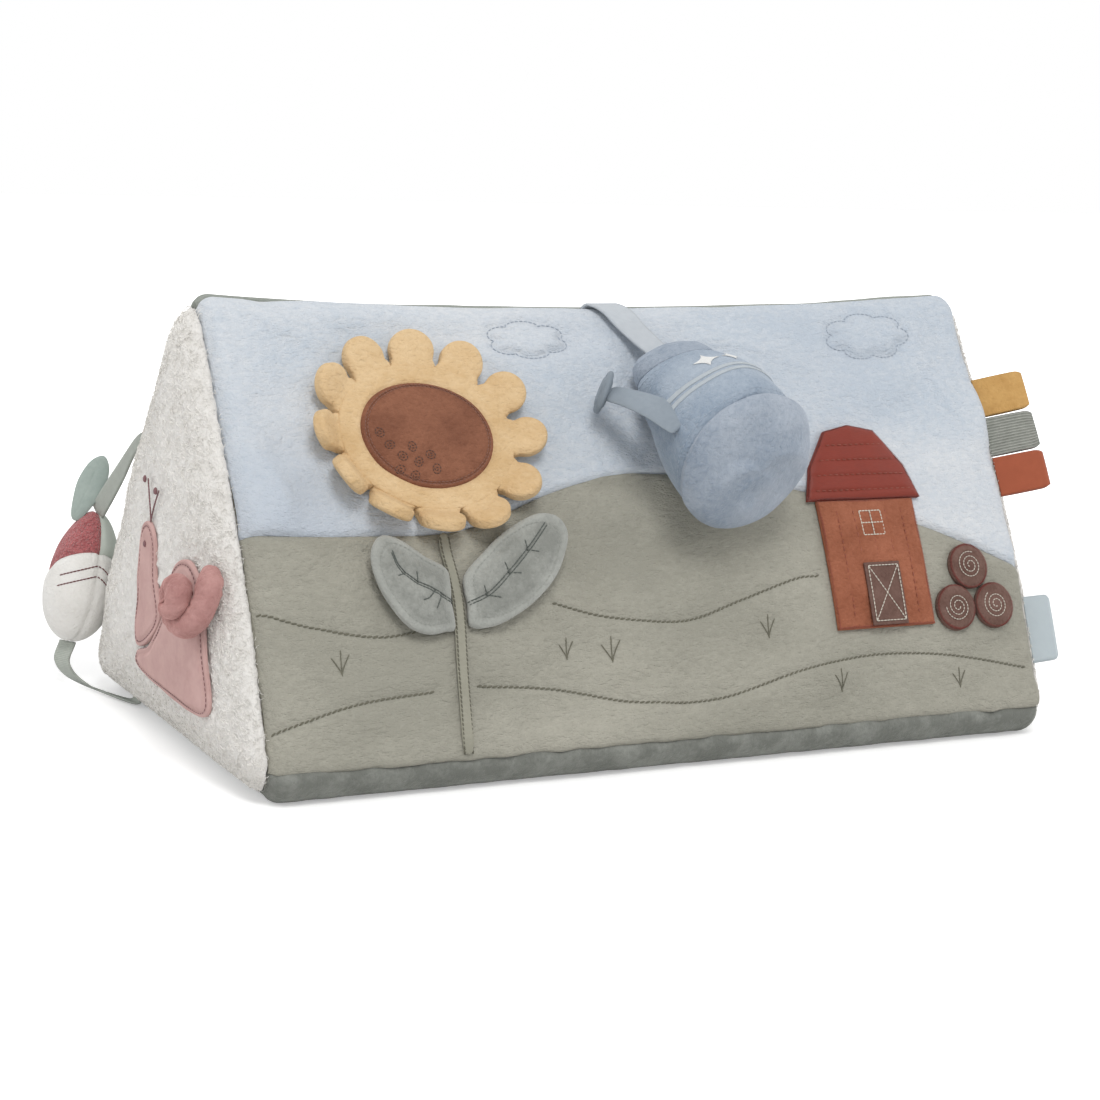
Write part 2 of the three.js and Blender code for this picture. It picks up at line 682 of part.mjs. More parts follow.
function canRibbonStrip() {
  const endX = can.neckX - heading.x * (canRibbon.thick + gap);
  const endT = can.neckT - heading.y * (canRibbon.thick + gap);
  const rings = canRibbonShares.map((share) => {
    const x = THREE.MathUtils.lerp(canRibbon.x, endX, share);
    const t = endT * share;
    const h = canRibbon.rise + (can.neckRise - canRibbon.rise) * share ** 1.6;
    const turn = Math.min(1, share * 1.4);
    const narrow = THREE.MathUtils.lerp(1, 0.8, share);
    const wide = new THREE.Vector2(1, 0).lerp(across, turn).normalize().multiplyScalar(canRibbon.width * narrow / 2);
    return [
      front(x - wide.x, Math.max(0, t - wide.y), h), front(x + wide.x, Math.max(0, t + wide.y), h),
      front(x + wide.x, Math.max(0, t + wide.y), h + canRibbon.thick),
      front(x - wide.x, Math.max(0, t - wide.y), h + canRibbon.thick),
    ];
  });
  return loft(rings);
}

const spoutRootAngle = THREE.MathUtils.degToRad(162);
const spoutRun = canLength * 0.72;

function spoutPath() {
  const root = canPoint(spoutRun, canWall(spoutRun) + spout.thick, spoutRootAngle, 0);
  const tip = front(spout.tipX, spout.tipT, spout.tipRise);
  const sagged = root.clone().lerp(tip, 0.5).addScaledVector(frontFrame(spout.tipX, spout.tipT).out, fabric);
  return new THREE.CatmullRomCurve3([root, sagged, tip]);
}

const spoutCurve = spoutPath();

function spoutTube() {
  const steps = 6;
  const frame = frontFrame(spout.tipX, spout.tipT);
  const rings = spoutCurve.getPoints(steps).map((p, k) => {
    const tangent = spoutCurve.getTangent(k / steps);
    const wide = frame.out.clone().cross(tangent).normalize();
    const thin = wide.clone().cross(tangent).normalize();
    const width = THREE.MathUtils.lerp(spout.rootWidth, spout.tipWidth, k / steps);
    const ring = [];
    for (let i = 0; i < 10; i += 1) {
      const angle = Math.PI * 2 * i / 10;
      ring.push(p.clone().addScaledVector(wide, Math.cos(angle) * width / 2)
        .addScaledVector(thin, Math.sin(angle) * spout.thick / 2));
    }
    return ring;
  });
  return loft(rings);
}

function spoutRose() {
  const tip = spoutCurve.getPoint(1);
  const tangent = spoutCurve.getTangent(1).normalize();
  const frame = frontFrame(spout.tipX, spout.tipT);
  const wide = frame.out.clone().cross(tangent).normalize();
  const thin = wide.clone().cross(tangent).normalize();
  const centre = tip.clone().addScaledVector(tangent, gap + rose.thick / 2);
  const place = (u, v, h) => centre.clone().addScaledVector(wide, u).addScaledVector(thin, v).addScaledVector(tangent, h);
  const shape = { base: -rose.thick / 2, thick: rose.thick * 0.75, crown: rose.thick * 0.25, round: rose.thick * 0.2 };
  return pad(oval(rose.width, rose.width, 0, 14), shape, place, [0.7, 1]);
}

// The handle is a flat padded crescent on the can's side away from the spout
function canHandleLoop() {
  const steps = 8;
  const rings = [];
  for (let k = 0; k <= steps; k += 1) {
    const share = k / steps;
    const bow = Math.sin(Math.PI * share);
    const run = canLength - canHandle.span * (1.1 - share);
    const base = canWall(run) + gap + fabric * 0.2;
    const reach = fabric + (canHandle.reach - fabric) * bow;
    const at = (out, lift) => canPoint(run, base + out, -0.06 + lift / canWall(run), 0);
    const half = canHandle.thick / 2;
    rings.push([at(0, -half), at(reach * 0.7, -half), at(reach, 0), at(reach * 0.7, half), at(0, half)]);
  }
  return loft(rings);
}

const canPivot = front(canRibbon.x, 0, canRibbon.rise + canRibbon.thick / 2);
const neckPivot = canPoint(0, 0, 0, 0);
const neckWide = front(can.neckX + across.x, can.neckT + across.y, can.neckRise)
  .sub(front(can.neckX - across.x, can.neckT - across.y, can.neckRise)).normalize();

addPiece('can_ribbon', canRibbonStrip(), colours.ribbon, 0.6, { pivot: canPivot, axis: new THREE.Vector3(-1, 0, 0) });
addPiece('can_shoulder', canShoulder(), colours.can, 0.85, { pivot: neckPivot, axis: neckWide.clone().negate() });
addPiece('can_band', canBand(), colours.band, 0.85);
addPiece('can_bottom', canBottom(), colours.can, 0.85);
addPiece('can_rattle', rattleBall(), colours.plastic, 0.5);
addPiece('can_spout', spoutTube(), colours.spout, 0.8);
addPiece('can_rose', spoutRose(), colours.spout, 0.8);
addPiece('can_handle', canHandleLoop(), colours.spout, 0.8);

// Barn and hay bales: appliqued picture on the right of the front

const barnWallShares = [[-0.5, -0.5], [0.5, -0.5], [0.5, 0.5], [-0.5, 0.5]];
const barnRoofShares = [[-0.5, 0.5], [-0.42, 0.06], [-0.22, -0.42], [0, -0.5], [0.22, -0.42], [0.42, 0.06], [0.5, 0.5]];

function straightOutline(shares, width, tall, x, y, steps) {
  const corners = shares.map(([u, v]) => new THREE.Vector2(x + u * width, y + v * tall));
  const points = [];
  corners.forEach((p, k) => {
    const q = corners[(k + 1) % corners.length];
    for (let i = 0; i < steps; i += 1) points.push(p.clone().lerp(q, i / steps));
  });
  return points;
}

const wallMiddle = barn.t + barn.roofHeight / 2;
const roofMiddle = barn.t - barn.wallHeight / 2 - gap;
const appliquePad = { base: padGap, thick: barn.thick, crown: barn.crown, round: barn.thick * 0.4 };
const wallTop = padGap + barn.thick + barn.crown;
const wallOutline = straightOutline(barnWallShares, barn.wallWidth, barn.wallHeight, barn.x, wallMiddle, 4);
const roofOutline = straightOutline(
  barnRoofShares, barn.wallWidth + 2 * barn.eaves, barn.roofHeight, barn.x, roofMiddle, 2,
);
const doorOutline = straightOutline(
  barnWallShares, door.width, door.height, barn.x, wallMiddle + (barn.wallHeight - door.height) / 2 - gap, 4,
);

addPiece('barn_wall', pad(wallOutline, appliquePad, front), colours.rust, 0.85);
addPiece('barn_roof', pad(roofOutline, appliquePad, front), colours.red, 0.5);
addPiece('barn_door', pad(doorOutline, { base: wallTop + gap, thick: door.thick, crown: 0, round: 0 }, front), colours.brown, 0.85);

const baleShares = [[-0.5, 0.433], [0.5, 0.433], [0, -0.433]];
const baleX = barn.x + barn.wallWidth / 2 + bale.spacing / 2 + bale.radius * 1.25;
const baleT = wallMiddle + barn.wallHeight / 2 - bale.spacing / 2 - bale.radius / 2;
baleShares.forEach(([u, v], k) => {
  const outline = oval(
    2 * bale.radius, 2 * bale.radius, 0, 16, baleX + u * bale.spacing, baleT + v * bale.spacing,
  );
  const shape = { base: padGap, thick: bale.thick, crown: bale.crown, round: bale.thick * 0.3 };
  addPiece(`hay_bale_${k + 1}`, pad(outline, shape, front), colours.brown, 0.85);
});

// Tags and label: folded ribbons sewn into the right end seam

const tagLeanDegrees = 28;

function addTag(name, t, spec, colour, roughness) {
  const seam = skin(-1, length / 2, t, 0);
  const frame = frontFrame(length / 2 - edgeRadius, t);
  const lean = THREE.MathUtils.degToRad(tagLeanDegrees);
  const out = new THREE.Vector3(Math.cos(lean), 0, 0).addScaledVector(frame.out, Math.sin(lean)).normalize();
  const along = frame.down.clone().addScaledVector(out, -frame.down.dot(out)).normalize();
  const face = along.clone().cross(out).normalize();
  const start = seamRim + 2 * gap;
  const root = seam.clone().addScaledVector(out, start);
  const shares = [0, 0.3, 0.7, 0.94, 1];
  const rings = shares.map((share) => {
    const half = spec.thick / 2 * (share === 1 ? 0.55 : 0.7 + 0.3 * Math.sin(Math.PI * Math.min(1, share * 0.9)));
    const centre = root.clone().addScaledVector(out, spec.length * share);
    return [[-1, -1], [1, -1], [1, 1], [-1, 1]].map(([u, v]) => centre.clone()
      .addScaledVector(along, u * spec.width / 2).addScaledVector(face, v * half));
  });
  const hinge = { pivot: root, axis: along };
  addPiece(name, loft(rings), colour, roughness, hinge);
}

addTag('tag_yellow', tag.firstT + tag.width / 2, tag, colours.yellow, 0.85);
addTag('tag_ribbed', tag.firstT + tag.pitch + tag.width / 2, tag, colours.rib, 0.8);
addTag('tag_rust', tag.firstT + 2 * tag.pitch + tag.width / 2, tag, colours.tagRust, 0.7);
addTag('blank_label', label.t + label.width / 2, label, colours.label, 0.7);

// Left end: snail applique with a coiled plush shell

const outlineTable = outerRing.map((p) => {
  const [y, z] = [p.y - endCentre.y, p.z - endCentre.z];
  return { angle: Math.atan2(z, y), radius: Math.hypot(y, z) };
}).sort((p, q) => p.angle - q.angle);

function outlineRadius(angle) {
  const n = outlineTable.length;
  let k = outlineTable.findIndex((p) => p.angle > angle);
  if (k < 0) k = 0;
  const [p, q] = [outlineTable[(k + n - 1) % n], outlineTable[k]];
  const span = (q.angle - p.angle + 2 * Math.PI) % (2 * Math.PI);
  const past = (angle - p.angle + 2 * Math.PI) % (2 * Math.PI);
  return p.radius * q.radius * Math.sin(span)
    / (p.radius * Math.sin(past) + q.radius * Math.sin(span - past));
}

function leftEnd(y, z, h) {
  const [dy, dz] = [y - endCentre.y, z - endCentre.z];
  const share = Math.hypot(dy, dz) / outlineRadius(Math.atan2(dz, dy));
  return new THREE.Vector3(-outerEndX(share) - h, y, z);
}

const footShares = [
  [-0.34, 0.085], [-0.29, 0.21], [-0.235, 0.34], [-0.15, 0.405], [-0.05, 0.375], [0.02, 0.25], [0.13, 0.155],
  [0.255, 0.115], [0.265, 0.075], [0.05, 0.058], [-0.22, 0.058],
];
const neckShares = [
  [0.075, 0.225], [0.105, 0.33], [0.115, 0.41], [0.165, 0.445], [0.215, 0.42], [0.235, 0.34], [0.24, 0.25],
  [0.235, 0.165], [0.15, 0.19],
];
const suede = { base: snail.rise, thick: snail.thick, crown: 0, round: 0 };
const endShort = [0.25, 0.5, 0.75, 1];

function snailPad(shares, count) {
  const middle2 = new THREE.Vector2(snail.y, snail.z);
  const outline = smoothOutline(shares, snail.wide, snail.tall, count).map((p) => p.add(middle2));
  return pad(outline, suede, leftEnd, endShort);
}

addPiece('snail_foot', snailPad(footShares, 28), colours.pink, 0.8);
addPiece('snail_neck', snailPad(neckShares, 20), colours.pink, 0.8);

// The coil starts at the top, where it is sewn on, winds inwards and stands out as it turns
const coilSteps = Math.round(24 * coil.turns);
const coilSlopeShare = 1.13;
const coilStepShare = 6;

function coilStation(k) {
  const share = k / coilSteps;
  const angle = Math.PI / 2 + 2 * Math.PI * coil.turns * share;
  const reach = THREE.MathUtils.lerp(coil.reach, coil.core, share);
  const start = Math.min(1, 0.55 + coilStepShare * share);
  const late = THREE.MathUtils.clamp((share - coilTaperShare) / (1 - coilTaperShare), 0, 1);
  const radius = THREE.MathUtils.lerp(coil.tube * start, coil.tip, late);
  const pads = (snail.rise + snail.thick) * Math.min(1, coilStepShare * share);
  const floor = (radius + gap) * coilSlopeShare + pads;
  const centre = leftEnd(
    coil.y + Math.cos(angle) * reach * coilSqueezeShare, coil.z + Math.sin(angle) * reach,
    floor + coil.lift * share ** 1.2,
  );
  return { centre, radius, outwards: new THREE.Vector3(0, Math.cos(angle), Math.sin(angle)) };
}

function coilTube() {
  const sides = 8;
  const rings = [];
  for (let k = 0; k <= coilSteps; k += 1) {
    const { centre, radius, outwards } = coilStation(k);
    const ring = [];
    for (let i = 0; i < sides; i += 1) {
      const beta = Math.PI * 2 * i / sides;
      ring.push(centre.clone().addScaledVector(outwards, Math.cos(beta) * radius)
        .add(new THREE.Vector3(-Math.sin(beta) * radius, 0, 0)));
    }
    rings.push(ring);
  }
  return loft(rings);
}

// The least gap between stations that lie a third of a turn or more apart
function coilGap() {
  const apart = Math.round(coilSteps / coil.turns / 3);
  let least = Infinity;
  for (let i = 0; i + apart <= coilSteps; i += 1) {
    for (let j = i + apart; j <= coilSteps; j += 1) {
      const [a, b] = [coilStation(i), coilStation(j)];
      least = Math.min(least, a.centre.distanceTo(b.centre) - a.radius - b.radius);
    }
  }
  return least;
}

console.log(`least gap between the coil's turns: ${coilGap().toFixed(2)} mm`);

const coilPivot = leftEnd(coil.y, coil.z + coil.reach + coil.tube, padGap);
addPiece('snail_coil', coilTube(), colours.pink, 0.9, { pivot: coilPivot, axis: new THREE.Vector3(0, 1, 0) });

// Radish: a stuffed egg of white plush, a red terry cheek and a pale green side, hung from
// the seam of the left end and the back on a ribbon, and held below by a loop of ribbon

const radishCentre = new THREE.Vector3(radish.x, radish.y, radish.z);

function radishEgg() {
  const egg = new THREE.SphereGeometry(1, 20, 14);
  egg.rotateX(Math.PI / 2);
  const p = egg.attributes.position;
  for (let i = 0; i < p.count; i += 1) {
    const swell = 1 - radish.taper * p.getZ(i);
    p.setXYZ(i, p.getX(i) * swell * radish.deep / 2, p.getY(i) * swell * radish.width / 2, p.getZ(i) * radish.tall / 2);
  }
  return egg;
}

function halfSpace(lift, tilt, turn, side) {
  const reach = radish.tall * 2;
  const box = new THREE.BoxGeometry(reach, reach, reach);
  box.translate(0, 0, side * (reach / 2 + lift));
  box.rotateX(THREE.MathUtils.degToRad(tilt));
  box.rotateZ(THREE.MathUtils.degToRad(turn));
  return manifoldOf(box);
}

function radishPieces() {
  const egg = manifoldOf(radishEgg());
  const above = (side) => {
    const space = halfSpace(gap / 2 + side * radish.capZ, radish.capTilt, radish.seamTurn, side);
    return space;
  };
  const upright = (side) => halfSpace(gap / 2, 90, radish.seamTurn - 90, side);
  const upper = egg.intersect(above(1));
  return {
    lower: egg.intersect(above(-1)),
    cheek: upper.intersect(upright(1)),
    flank: upper.intersect(upright(-1)),
  };
}

const radishTilt = THREE.MathUtils.degToRad(radish.tilt);
const radishUp = new THREE.Vector3(Math.sin(radishTilt), 0, Math.cos(radishTilt));

function settle(manifold) {
  const geometry = geometryOf(manifold);
  geometry.rotateY(radishTilt);
  geometry.translate(radishCentre.x, radishCentre.y, radishCentre.z);
  return geometry;
}

// A point outside the radish, turned round its axis and down from its top
function radishPoint(aroundDegrees, downDegrees, out) {
  const around = THREE.MathUtils.degToRad(aroundDegrees);
  const down = THREE.MathUtils.degToRad(downDegrees);
  const swell = 1 - radish.taper * Math.cos(down);
  const point = new THREE.Vector3(
    Math.sin(down) * Math.cos(around) * (swell * radish.deep / 2 + out),
    Math.sin(down) * Math.sin(around) * (swell * radish.width / 2 + out),
    Math.cos(down) * (radish.tall / 2 + out),
  );
  return point.applyAxisAngle(new THREE.Vector3(0, 1, 0), radishTilt).add(radishCentre);
}

// A seam point of the left end and the back, at height z
function backSeam(z, out) {
  let w = 0;
  while (skin(1, -length / 2, w, 0).z > z && w < slopeLength + heelArc) w += fabric / 5;
  return skin(1, -length / 2, w, out);
}

const seamOut = hangRibbon.thick / 2 + gap;
const seamStep = new THREE.Vector3(-seamRim / 2, 0, 0);
const hangRoot = backSeam(hangRibbon.rootZ, seamOut).add(seamStep);
const radishTop = radishCentre.clone().addScaledVector(radishUp, radish.tall / 2 + gap + hangRibbon.thick / 2);
const hangMiddle = hangRoot.clone().lerp(radishTop, 0.5).add(new THREE.Vector3(-hangRibbon.width * 0.12, hangRibbon.width * 0.2, hangRibbon.width * 0.2));
const hangLeave = hangRoot.clone().add(new THREE.Vector3(-hangRibbon.width * 0.5, hangRibbon.width * 0.35, 0));
const hangPath = new THREE.CatmullRomCurve3([hangRoot, hangLeave, hangMiddle, radishTop]).getPoints(10);

function ribbonRings(path, width, thick, wideStart, wideEnd) {
  const last = path.length - 1;
  const wideAt = (k) => wideStart.clone().lerp(wideEnd, k / last).normalize();
  const flowAt = (k) => path[Math.min(last, k + 1)].clone().sub(path[Math.max(0, k - 1)]).normalize();
  return sweepStrip(
    path,
    (k) => wideAt(k).multiplyScalar(width / 2),
    (k) => wideAt(k).cross(flowAt(k)).normalize().multiplyScalar(thick / 2),
  );
}

const seamDown = backSeam(hangRibbon.rootZ - hangRibbon.width, seamOut).add(seamStep).sub(hangRoot).normalize();
const cheekWide = new THREE.Vector3(0.45, 0.9, 0);

// The loop ribbon leaves the bottom of the radish, bows down to the floor and returns to the base seam
const loopRoot = new THREE.Vector3(
  -length / 2 - seamRim, loopRibbon.rootY, edgeRadius - padGap - loopRibbon.thick / 2,
);
const radishBottom = radishCentre.clone().addScaledVector(radishUp, -radish.tall / 2 - padGap - loopRibbon.thick);
const loopLow = loopRibbon.floor + loopRibbon.thick / 2;
const loopPath = new THREE.CatmullRomCurve3([
  radishBottom,
  radishBottom.clone().add(new THREE.Vector3(-radish.deep * 0.1, -radish.width * 0.08, -radish.tall * 0.15)),
  new THREE.Vector3(radish.x - radish.deep * 0.08, radish.y - radish.width * 0.25, loopLow + loopRibbon.floor),
  new THREE.Vector3(radish.x + radish.deep * 0.3, loopRibbon.rootY + loopRibbon.width, loopLow),
  loopRoot,
]).getPoints(14);

const swing = { pivot: hangRoot, axis: new THREE.Vector3(0.4, 0.92, 0).normalize() };
const parts = radishPieces();
addPiece('radish_body', settle(parts.lower), colours.white, 0.95, swing);
addPiece('radish_cheek', settle(parts.cheek), colours.terry, 0.95);
addPiece('radish_flank', settle(parts.flank), colours.sage, 0.9);
addPiece('radish_hang_ribbon', loft(ribbonRings(hangPath, hangRibbon.width, hangRibbon.thick, seamDown, cheekWide)), colours.sage, 0.6);
addPiece('radish_loop_ribbon', loft(ribbonRings(loopPath, loopRibbon.width, loopRibbon.thick, new THREE.Vector3(0.6, -0.8, 0), new THREE.Vector3(0, -1, 0))), colours.sage, 0.6);

// The leaf stands on the crown of the radish, beside the ribbon
const leafLean = new THREE.Vector3(0.22, 0.05, 1).normalize();
const leafWide = new THREE.Vector3(0.75, -0.6, 0);
leafWide.addScaledVector(leafLean, -leafWide.dot(leafLean)).normalize();
const leafFace = leafWide.clone().cross(leafLean).normalize();
const leafRoot = radishPoint(radishLeaf.around, radishLeaf.down, gap + radishLeaf.stalk);
const radishLeafShares = [[-0.16, 0], [-0.42, 0.28], [-0.5, 0.55], [-0.36, 0.85], [0, 1], [0.36, 0.85], [0.5, 0.55], [0.42, 0.28], [0.16, 0]];
const radishLeafPad = pad(
  smoothOutline(radishLeafShares, radishLeaf.width, radishLeaf.length, 18),
  { base: -radishLeaf.thick / 2, thick: radishLeaf.thick, crown: 0, round: radishLeaf.thick * 0.2 },
  (u, v, h) => leafRoot.clone().addScaledVector(leafWide, u).addScaledVector(leafLean, v).addScaledVector(leafFace, h),
  [0.6, 1],
);
addPiece('radish_leaf', radishLeafPad, colours.leafBlue, 0.85, { pivot: leafRoot, axis: leafWide.clone() });

export default group;
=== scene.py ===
"""Soft activity triangle: a stuffed three-sided bolster in plush, teddy and ribbon, with sewn-on pieces."""

import bpy
import numpy as np
from mathutils import Matrix, Vector
from numpy import (arctan2, array, clip, cos, exp, hypot, interp, linspace, maximum, minimum, pi, radians, sin, sqrt,
                   stack, where)


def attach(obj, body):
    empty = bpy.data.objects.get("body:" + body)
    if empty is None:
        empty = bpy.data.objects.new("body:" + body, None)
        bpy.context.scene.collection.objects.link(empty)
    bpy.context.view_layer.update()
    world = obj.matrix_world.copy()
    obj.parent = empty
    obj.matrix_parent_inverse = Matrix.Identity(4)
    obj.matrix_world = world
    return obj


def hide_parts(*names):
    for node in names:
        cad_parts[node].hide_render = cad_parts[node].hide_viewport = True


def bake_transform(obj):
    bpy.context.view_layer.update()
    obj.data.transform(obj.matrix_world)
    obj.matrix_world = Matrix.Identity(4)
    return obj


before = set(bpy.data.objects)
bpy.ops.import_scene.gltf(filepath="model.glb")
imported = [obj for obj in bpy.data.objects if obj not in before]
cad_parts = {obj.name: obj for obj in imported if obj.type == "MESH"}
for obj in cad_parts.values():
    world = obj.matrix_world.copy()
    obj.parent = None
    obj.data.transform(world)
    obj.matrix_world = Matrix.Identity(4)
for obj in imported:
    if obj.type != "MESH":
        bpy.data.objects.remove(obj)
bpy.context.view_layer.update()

# Studio: a level camera a little above the ridge, one broad lamp over the front, a weak one
# at the left end, a pale surround, and a pale floor that goes to white away from the toy.
camera_turn, camera_lift, camera_roll = -28.259, 11.802, 3.286
camera_distance = 1.22519
camera_lens = 83.647
looked_at = Vector((-0.017841, 0, 0.079799))
floor_size = 6.0
floor_colour = (0.86, 0.86, 0.86, 1)
# the floor starts and ends its fade to white at these distances, and glows this much there
floor_fade = (0.38, 0.95, 0.36, 1.0)
surround_light = 0.62
white_show = 1.0

turn, lift = radians(camera_turn), radians(camera_lift)
back = Vector((sin(turn) * cos(lift), -cos(turn) * cos(lift), sin(lift)))
right = (-back).cross(Vector((0, 0, 1))).normalized()
up = right.cross(-back)
roll = radians(camera_roll)
right, up = right * cos(roll) + up * sin(roll), up * cos(roll) - right * sin(roll)
eye = looked_at + back * camera_distance
bpy.ops.object.select_all(action="DESELECT")
bpy.ops.object.camera_add()
camera = bpy.context.object
camera.name = "camera"
camera.data.lens = camera_lens
camera.data.sensor_width = 36
camera.data.clip_end = 30
camera.matrix_world = Matrix.Translation(eye) @ Matrix((right, up, back)).transposed().to_4x4()
bpy.context.scene.camera = camera


def lamp(name, place, aim, width, watts, warmth):
    bpy.ops.object.light_add(type="AREA", location=place)
    light = bpy.context.object
    light.name = name
    light.data.shape = "DISK"
    light.data.size = width
    light.data.energy = watts
    light.data.color = warmth
    light.rotation_euler = (Vector(aim) - Vector(place)).to_track_quat("-Z", "Y").to_euler()
    return light


lamp("lamp_front", (-0.4, -1.25, 1.8), (0, 0, 0.08), 0.85, 18.5, (1, 0.99, 0.98))
lamp("lamp_left", (-1.7, -0.35, 0.9), (0, 0, 0.1), 0.9, 3.6, (1, 1, 1))
lamp("lamp_right", (1.5, -0.9, 0.8), (0, 0, 0.1), 0.8, 4.0, (1, 1, 1))
lamp("lamp_back", (-0.6, 1.4, 1.3), (0, 0, 0.1), 1.0, 6.0, (1, 1, 1))


def add(tree, kind, values=None, **options):
    """A shader node with its options and the values of its inputs"""
    node = tree.nodes.new("ShaderNode" + kind)
    for option, choice in options.items():
        setattr(node, option, choice)
    for socket, value in (values or {}).items():
        node.inputs[socket].default_value = value
    return node


def wire(tree, *links):
    """Links, each given as node, output, node, input"""
    for start, output, end, into in links:
        tree.links.new(start.outputs[output], end.inputs[into])


bpy.context.scene.view_settings.view_transform = "Standard"
world = bpy.context.scene.world or bpy.data.worlds.new("surround")
bpy.context.scene.world = world
world.use_nodes = True
tree = world.node_tree
surround = tree.nodes["Background"]
surround.inputs["Color"].default_value = (1, 1, 1, 1)
rays = add(tree, "LightPath")
either, either_more = (add(tree, "Math", operation="MAXIMUM") for _ in range(2))
level = add(tree, "MapRange", {"To Min": surround_light, "To Max": white_show})
wire(tree, (rays, "Is Camera Ray", either, 0), (rays, "Is Glossy Ray", either, 1), (either, 0, either_more, 0),
     (rays, "Is Transmission Ray", either_more, 1), (either_more, 0, level, "Value"),
     (level, "Result", surround, "Strength"))

bpy.ops.mesh.primitive_grid_add(x_subdivisions=2, y_subdivisions=2, size=floor_size)
floor = bpy.context.object
floor.name = "floor"
paper = bpy.data.materials.new("floor_paper")
paper.use_nodes = True
tree = paper.node_tree
shader = tree.nodes["Principled BSDF"]
for socket, value in (("Base Color", floor_colour), ("Roughness", 0.9), ("Specular IOR Level", 0.1),
                      ("Emission Color", (1, 1, 1, 1))):
    shader.inputs[socket].default_value = value
rays, place = add(tree, "LightPath"), add(tree, "TexCoord")
away = add(tree, "VectorMath", operation="LENGTH")
fade = add(tree, "MapRange", dict(zip(("From Min", "From Max", "To Min", "To Max"), floor_fade)),
           interpolation_type="SMOOTHSTEP")
glow = add(tree, "Math", operation="MULTIPLY")
wire(tree, (place, "Object", away, 0), (away, "Value", fade, "Value"), (fade, "Result", glow, 0),
     (rays, "Is Camera Ray", glow, 1), (glow, 0, shader, "Emission Strength"))
floor.data.materials.append(paper)

# Foam wedge: a block of upholstery foam cut with three rounded edges. The cover is sewn
# round it, so it never shows, but it is what every panel lies on.
mm = 0.001
foam_pale, foam_dark = (0.80, 0.75, 0.62), (0.62, 0.57, 0.45)


def new_material(name, roughness, sheen=0.0, sheen_roughness=0.5):
    """A material, its node tree, its Principled shader and its texture coordinates"""
    made = bpy.data.materials.new(name)
    made.use_nodes = True
    shader = made.node_tree.nodes["Principled BSDF"]
    for socket, value in (("Roughness", roughness), ("Sheen Weight", sheen), ("Sheen Roughness", sheen_roughness),
                          ("Specular IOR Level", 0.25)):
        shader.inputs[socket].default_value = value
    return made, made.node_tree, shader, add(made.node_tree, "TexCoord")


def colour_by(tree, shader, source, output, low, high):
    """Mixes two colours by the value of a texture"""
    tint = add(tree, "Mix", {"A": (*low, 1), "B": (*high, 1)}, data_type="RGBA")
    wire(tree, (source, output, tint, "Factor"), (tint, "Result", shader, "Base Color"))


def raise_by(tree, shader, source, output, depth):
    """Raises the surface by the value of a texture, in metres"""
    rise = add(tree, "Bump", {"Distance": depth})
    wire(tree, (source, output, rise, "Height"), (rise, "Normal", shader, "Normal"))


def dress_node(name, made):
    """A CAD node keeps its own mesh and wears a better material"""
    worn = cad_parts[name].data.materials
    worn.clear()
    worn.append(made)


foam, tree, shader, place = new_material("foam_cells", 0.95)
cells = add(tree, "TexVoronoi", {"Scale": 700})
wire(tree, (place, "Object", cells, "Vector"))
colour_by(tree, shader, cells, "Distance", foam_dark, foam_pale)
raise_by(tree, shader, cells, "Distance", 0.0005)
dress_node("foam_core", foam)

# Rattle: a hard plastic ball in the bore of the can, heard and never seen.
# It keeps the solid's own mesh.
rattle_pale, rattle_dark = (0.72, 0.70, 0.66), (0.62, 0.60, 0.55)
rattle_plastic, tree, shader, place = new_material("rattle_shell", 0.4)
swirl = add(tree, "TexNoise", {"Scale": 300})
wire(tree, (place, "Object", swirl, "Vector"))
colour_by(tree, shader, swirl, "Fac", rattle_dark, rattle_pale)
dress_node("can_rattle", rattle_plastic)

# Upper front panel: pale blue short-pile plush, sewn along the ridge, both ends and a curved
# seam to the hills. Two clouds are quilted into it, so the plush puffs up inside them.
length, depth, height = 400.0, 222.0, 203.0
ridge_radius, base_radius, edge_radius = 16.0, 15.0, 7.0
ridge_sag, face_crown, face_end_crown, crown_skew = 6.5, 9.0, 7.0, 1.2
fabric, gap, seam_rim, end_crown, pile = 2.5, 0.3, 2.0, 17.0, 5.0
# how far a panel's edge is tucked in under its neighbour at a seam
tucked = 1.0
# the hill panel's edge takes the sky panel's height over this width, and lies this much above it
seam_blend, seam_lap = 5.0, 1.15
sky_colour, sky_shade = (0.800, 0.795, 0.790), (0.490, 0.550, 0.620)
front_columns, front_rows = 320, 88
horizon_shares = (
    (-1, 0.533), (-0.75, 0.546), (-0.5, 0.545), (-0.24, 0.469), (0, 0.442), (0.36, 0.485), (0.7, 0.575), (1, 0.69),
)
# Each cloud: x, distance down the slope, half width, half height, lobes, turn
clouds = ((141, 27, 23, 13, 7, 0.3), (-46, 25, 20, 11, 6, 1.1))
quilt_depth, quilt_width, quilt_puff = 1.7, 2.4, 1.7
# the cover's loose waves, broad and small, as (height, size)
slack_waves = ((2.6, 44), (1.4, 18))
# the cover may sink freely this far, and then at most this much further
sink_free, sink_most = 1.0, 1.1
# Where a sewn-on piece holds the panel flat: x, distance down, half width, half height
held_spots = ((-111.5, 78, 58, 52), (112, 138, 37, 54), (164, 161, 27, 27), (20, 72, 24, 40), (-112, 158, 54, 28),
              (-112, 195, 9, 50))
